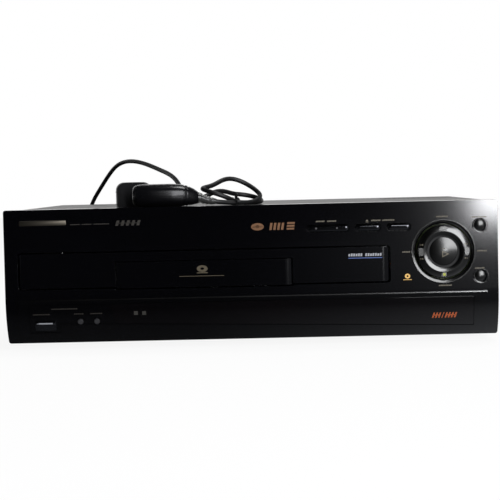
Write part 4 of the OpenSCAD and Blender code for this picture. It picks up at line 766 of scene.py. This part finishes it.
# radius, and distance behind the rear panel, in mm
SHELL_SECTION = ((4.05, 1.6), (4.75, 1.6), (4.75, 2.4), (4.32, 2.6), (4.32, 8.9),
                 (4.1, 9.15), (3.75, 9.15), (3.7, 8.95), (4.05, 8.9))
DISC_SECTION = ((1.75, 8.8), (1.75, 9.1), (2, 9.25), (3.5, 9.25), (3.7, 9.1), (3.7, 8.8))
JACKS = (  # signal, x in mm, colours of the disc
    ("left", 42, ("#b9b8b2", "#c9c8c3")), ("right", 60, ("#8a1f1a", "#9b2b24")),
    ("video", 24, ("#b08a1a", "#c29c2c")),
)
shell_mesh = bmesh.new()
for signal, x, tones in JACKS:
    for z in JACK_Z:
        turned(shell_mesh, x, z, REAR_Y, SHELL_SECTION, 40)
# Nickel plate over brass: bright, slightly yellow, with fine turning lines
nickel_plate = finish("nickel_plate", ("#a9a59a", "#c2beb2"), (0.16, 0.26),
                      brushed(0.2 * MM, 0.003 * MM, (1, 0.05, 1), 5 * MM), Metallic=1.0)
make_piece("jack_shells", shell_mesh, "case", nickel_plate)
# Polypropylene: half gloss, in the colour of its signal
for signal, x, tones in JACKS:
    disc_mesh = bmesh.new()
    for z in JACK_Z:
        turned(disc_mesh, x, z, REAR_Y, DISC_SECTION, 40)
    insulator = finish("insulator_" + signal, tones, (0.3, 0.4), grained(0.4 * MM, 0.004 * MM, 3 * MM))
    make_piece("jack_discs_" + signal, disc_mesh, "case", insulator)

# Two rows of ten blades in the 21-pin socket; the lower row stands a quarter of the pitch aside
CONTACT_SIZE = Vector((1.5, 8, 0.35)) * MM
CONTACT_X, PITCH = 94.9, 3.8
contact_mesh = bmesh.new()
for first_x, z in ((CONTACT_X, 40.5), (CONTACT_X + PITCH / 4, 37.35)):
    for k in range(10):
        made = bmesh.ops.create_cube(contact_mesh, size=1)["verts"]
        bmesh.ops.scale(contact_mesh, verts=made, vec=CONTACT_SIZE)
        tip = [v for v in made if v.co.y > 0]
        bmesh.ops.scale(contact_mesh, verts=tip, vec=(0.7, 1, 0.5))
        bmesh.ops.translate(contact_mesh, verts=made, vec=Vector((first_x + PITCH * k, REAR_Y - 0.5, z)) * MM)
# Spring bronze with a flash of gold: warm and bright, with fine rolling lines
gold_flash = finish("gold_flash", ("#a8884a", "#c0a05e"), (0.22, 0.34),
                    brushed(0.2 * MM, 0.003 * MM, (1, 0.05, 1)), Metallic=1.0)
make_piece("scart_contacts", contact_mesh, "case", gold_flash)

# ---------- Disc trays ----------
# Two black ABS mouldings. The large tray runs in the guides, and the small one runs in a
# channel in the middle of the large one.

# Black ABS, fine-sparked, rubbed a little brighter where discs and fingers touch
tray_abs = finish("tray_abs", ("#131315", "#1b1b1e"), (0.3, 0.42), grained(0.6 * MM, 0.008 * MM, 45 * MM))
dress(tray_abs, "ld_tray", "cd_tray")
soften(0.3 * MM, "cd_tray")

# ---------- Mechanism ----------
# A moulded base plate carries the tray guides, the loading gears, the disc motor on its
# lift, and the laser sled between two steel rods. The clamp hangs over it on a pressed arm.

# Grey glass-filled ABS with flow marks
filled_abs = finish("filled_abs", ("#26262a", "#323237"), (0.42, 0.58), grained(1.1 * MM, 0.02 * MM, 30 * MM))
dress(filled_abs, "mech_frame", "tray_guide_left", "tray_guide_right", "clamper", "lens_holder")
# Natural nylon: ivory, waxy and a little see-through at its edges
natural_nylon = finish("natural_nylon", ("#c9c2ae", "#d8d2c1"), (0.36, 0.48),
                       grained(0.7 * MM, 0.008 * MM, 6 * MM),
                       Subsurface_Weight=0.15, Subsurface_Radius=(3 * MM, 2 * MM, 1.5 * MM))
dress(natural_nylon, "tray_gear", "belt_pulley", "motor_pulley")
# Neoprene, dull black with a ground finish
neoprene = finish("neoprene", ("#151515", "#20201f"), (0.6, 0.72), grained(0.3 * MM, 0.01 * MM, 4 * MM))
dress(neoprene, "loading_belt")
# Turntable: the base plate's ABS with a rubber-like soft-touch lacquer
soft_lacquer = finish("soft_lacquer", ("#19191a", "#222224"), (0.5, 0.62),
                      grained(0.4 * MM, 0.006 * MM, 9 * MM))
dress(soft_lacquer, "turntable")
# Pressed steel with a clear zinc coat, drawn lines along its length
pressed_steel = finish("pressed_steel", ("#9b9b98", "#aeaeaa"), (0.3, 0.42),
                       brushed(0.35 * MM, 0.006 * MM, (1, 0.03, 1)), Metallic=1.0)
dress(pressed_steel, "lift_base", "clamp_arm")
soften(0.2 * MM, "lift_base", "clamp_arm")
# Ground and polished steel: bright, with barely seen lines
ground_steel = finish("ground_steel", ("#b5b6b8", "#c6c7c9"), (0.12, 0.2),
                      brushed(0.15 * MM, 0.002 * MM, (1, 0.04, 1)), Metallic=1.0)
dress(ground_steel, "guide_rods", "clamp_pin", "sled_screw")
# Nickel over deep-drawn steel: a pale, slightly clouded metal
motor_can = finish("motor_can", ("#8f9092", "#a4a5a6"), (0.22, 0.34),
                   grained(0.5 * MM, 0.005 * MM, 7 * MM), Metallic=1.0)
dress(motor_can, "spindle_motor", "sled_motor", "loading_motor")
# Die-cast zinc, shot-blasted: a flat grey with a rough grain
die_cast = finish("die_cast", ("#85868a", "#97989b"), (0.46, 0.6),
                  grained(0.45 * MM, 0.03 * MM, 12 * MM), Metallic=1.0)
dress(die_cast, "pickup_carriage")

# ---------- Circuit boards ----------
# Three boards: one upright behind the front, the main board, and the power supply on
# brown paper laminate. Their parts stand on the boards as cans, blocks and heatsinks.


def traces(nodes, place):
    """Copper tracks under the lacquer: the borders of square cells, about 5 mm apart."""
    cells = {"Vector": place, "Scale": 1 / (5 * MM)}
    second, first = (
        add(nodes, "TexVoronoi", cells, feature=order, distance="CHEBYCHEV").outputs["Distance"]
        for order in ("F2", "F1")
    )
    gap = add(nodes, "Math", {0: second, 1: first}, operation="SUBTRACT")
    track = add(nodes, "MapRange", {"Value": gap.outputs[0], "From Min": 0.1, "From Max": 0.16})
    return track.outputs[0], -0.03 * MM, track.outputs[0]


def board_finish(name, tones, part_tones):
    """A lacquered board, whose parts, 15 mm above the floor and higher, have their own colours."""
    material = finish(name, tones, (0.2, 0.3), traces)
    nodes = material.node_tree.nodes
    shader = nodes["Principled BSDF"]
    board = shader.inputs["Base Color"].links[0].from_socket
    place = add(nodes, "TexCoord").outputs["Object"]
    height = add(nodes, "SeparateXYZ", {"Vector": place}).outputs["Z"]
    above = add(nodes, "Math", {0: height, 1: 15 * MM}, operation="GREATER_THAN")
    groups = add(nodes, "TexVoronoi", {"Vector": place, "Scale": 1 / (60 * MM)})
    pick = add(nodes, "SeparateColor", {"Color": groups.outputs["Color"]})
    low, high = (colour(code) for code in part_tones)
    parts = add(nodes, "MixRGB", {"Fac": pick.outputs[0], "Color1": low, "Color2": high})
    both = add(nodes, "MixRGB", {"Fac": above.outputs[0], "Color1": board, "Color2": parts.outputs[0]})
    nodes.id_data.links.new(both.outputs[0], shader.inputs["Base Color"])
    return material


# Green solder resist over glass epoxy, darker where copper lies under it, with black and
# blue-grey parts
dress(board_finish("solder_resist", ("#5c7a3c", "#1f4527"), ("#141416", "#3c434c")), "main_board")
# Brown paper laminate, darker along its tracks, with dark parts
dress(board_finish("paper_laminate", ("#8a6a34", "#6c4d22"), ("#1a1a1c", "#5a5b5e")), "power_supply")
# The front board's laminate, all of it bare
dress(finish("front_laminate", ("#73804a", "#47582f"), (0.25, 0.35), traces), "front_board")

# ---------- Room ----------
# A pale floor and a pale surround. A soft lamp hangs above, a large one stands in front at the right, and a
# small one low beside it. Glowing cloths that only gloss sees keep the room out of the glossy front, and
# paint a reflection on it that brightens towards the right and under the front.
floor_mesh = bmesh.new()
bmesh.ops.create_grid(floor_mesh, x_segments=1, y_segments=1, size=6)


def staged(name, mesh):
    """Turns a bmesh into a floor or backdrop, which isn't part of the object."""
    data = bpy.data.meshes.new(name)
    mesh.to_mesh(data)
    mesh.free()
    item = bpy.data.objects.new(name, data)
    bpy.context.scene.collection.objects.link(item)
    return item


def sightline(nodes):
    """1 for the rays that should see a white room: from the camera, off gloss, through glass."""
    path = add(nodes, "LightPath").outputs
    either = add(nodes, "Math", {0: path["Is Camera Ray"], 1: path["Is Glossy Ray"]}, operation="MAXIMUM")
    any_of = add(nodes, "Math", {0: either.outputs[0], 1: path["Is Transmission Ray"]}, operation="MAXIMUM")
    return any_of.outputs[0]


floor = staged("floor", floor_mesh)
floor_paint = bpy.data.materials.new("floor_paint")
floor_paint.use_nodes = True
nodes = floor_paint.node_tree.nodes
nodes.clear()
# white where it is seen, but for a share that keeps the player's shadow
share = add(nodes, "Math", {0: sightline(nodes), 1: 0.9}, operation="MULTIPLY")
matt = add(nodes, "BsdfDiffuse", {"Color": colour("#f2f2f1")})
glow = add(nodes, "Emission", {"Color": (1, 1, 1, 1), "Strength": 1.0})
both = add(nodes, "MixShader", {0: share.outputs[0], 1: matt.outputs[0], 2: glow.outputs[0]})
add(nodes, "OutputMaterial", {"Surface": both.outputs[0]})
floor_paint.cycles.emission_sampling = "NONE"  # seen, and never a lamp
floor.data.materials.append(floor_paint)

# the surround is white where it is seen, and gives the player a weaker, even light
world = bpy.data.worlds.new("surround")
bpy.context.scene.world = world
world.use_nodes = True
nodes = world.node_tree.nodes
nodes.clear()
strength = add(nodes, "MapRange", {"Value": sightline(nodes), "To Min": 0.38, "To Max": 1.0})
sky = add(nodes, "Background", {"Color": (1, 1, 1, 1), "Strength": strength.outputs[0]})
add(nodes, "OutputWorld", {"Surface": sky.outputs[0]})


def lamp(name, place, target, size, power, tint):
    """A rectangular soft lamp at place that faces target."""
    data = bpy.data.lights.new(name, "AREA")
    data.shape, data.size, data.size_y = "RECTANGLE", *size
    data.energy, data.color = power, colour(tint)[:3]
    item = bpy.data.objects.new(name, data)
    bpy.context.scene.collection.objects.link(item)
    item.visible_camera = False
    item.location = place
    item.rotation_mode = "QUATERNION"
    item.rotation_quaternion = (Vector(target) - Vector(place)).to_track_quat("-Z", "Y")


lamp("lamp_above", (0.6, 0.5, 2.4), (0.1, -0.1, 0.1), (0.7, 0.7), 15, "#ffffff")
lamp("lamp_front", (1.06, -1.95, 0.95), (0.1, -0.19, 0.08), (1.6, 1.6), 48, "#fafbff")
lamp("lamp_low", (0.46, -2.0, 0.12), (0.2, -0.19, 0.11), (0.12, 0.12), 1.9, "#fbfcff")


def gloss_only_glow(name, size, turn, place, dark, bright, until=0.5, curve=1, near_gain=1):
    """A glowing cloth that only glossy surfaces see, turned by degrees round an axis: a painted reflection on
    the glossy front. Its glow rises from dark, 0.1 m left of the middle, to bright at until; a higher curve
    holds it back. It is near_gain times stronger right under the player's front."""
    mesh = bmesh.new()
    bmesh.ops.create_grid(mesh, x_segments=1, y_segments=1, size=1)
    bmesh.ops.scale(mesh, verts=mesh.verts, vec=(size[0] / 2, size[1] / 2, 1))
    stood = Matrix.Rotation(math.radians(turn[0]), 3, turn[1])
    bmesh.ops.rotate(mesh, verts=mesh.verts, cent=(0, 0, 0), matrix=stood)
    bmesh.ops.translate(mesh, verts=mesh.verts, vec=place)
    cloth = staged(name, mesh)
    cloth.visible_camera = cloth.visible_diffuse = cloth.visible_shadow = cloth.visible_transmission = False
    reflection_glow = bpy.data.materials.new(name)
    reflection_glow.use_nodes = True
    nodes = reflection_glow.node_tree.nodes
    nodes.clear()
    at = add(nodes, "SeparateXYZ", {"Vector": add(nodes, "TexCoord").outputs["Object"]}).outputs
    across = add(nodes, "MapRange", {"Value": at["X"], "From Min": -0.1, "From Max": until})
    swell = add(nodes, "Math", {0: across.outputs[0], 1: curve}, operation="POWER")
    even = add(nodes, "MapRange", {"Value": swell.outputs[0], "To Min": dark, "To Max": bright})
    near = add(nodes, "MapRange", {
        "Value": at["Y"], "From Min": -0.26, "From Max": -0.185, "To Min": 1, "To Max": near_gain,
    })
    strength = add(nodes, "Math", {0: even.outputs[0], 1: near.outputs[0]}, operation="MULTIPLY")
    shine = add(nodes, "Emission", {"Color": colour("#edf0f7"), "Strength": strength.outputs[0]})
    add(nodes, "OutputMaterial", {"Surface": shine.outputs[0]})
    reflection_glow.cycles.emission_sampling = "NONE"
    cloth.data.materials.append(reflection_glow)


ON_FLOOR = 0.0006
# glowing sheets seen only in gloss: painted reflections, dark at the left, brighter towards the right and
# brightest on the floor under the front
gloss_only_glow("cloth_behind", (7, 4.2), (90, "X"), (0, -3.2, 2.1), 0.01, 0.11, 0.5, 3)
gloss_only_glow("cloth_floor", (7, 3.04), (0, "X"), (0, -1.68, ON_FLOOR), 0.018, 0.16, 0.22, 2, 4.5)
gloss_only_glow("cloth_above", (7, 6.2), (0, "X"), (0, -0.1, 2.9), 0.02, 0.02)
gloss_only_glow("cloth_left", (4, 6.4), (90, "Y"), (-2.6, 0, 2.1), 0.03, 0.03)
gloss_only_glow("cloth_right", (4, 6.4), (90, "Y"), (3.2, 0, 2.1), 0.04, 0.04)
gloss_only_glow("cloth_high", (7, 1.3), (90, "X"), (0, 3.2, 2.25), 0.02, 0.02)
gloss_only_glow("cloth_under", (7, 3.1), (0, "X"), (0, 1.4, ON_FLOOR), 0.03, 0.03)
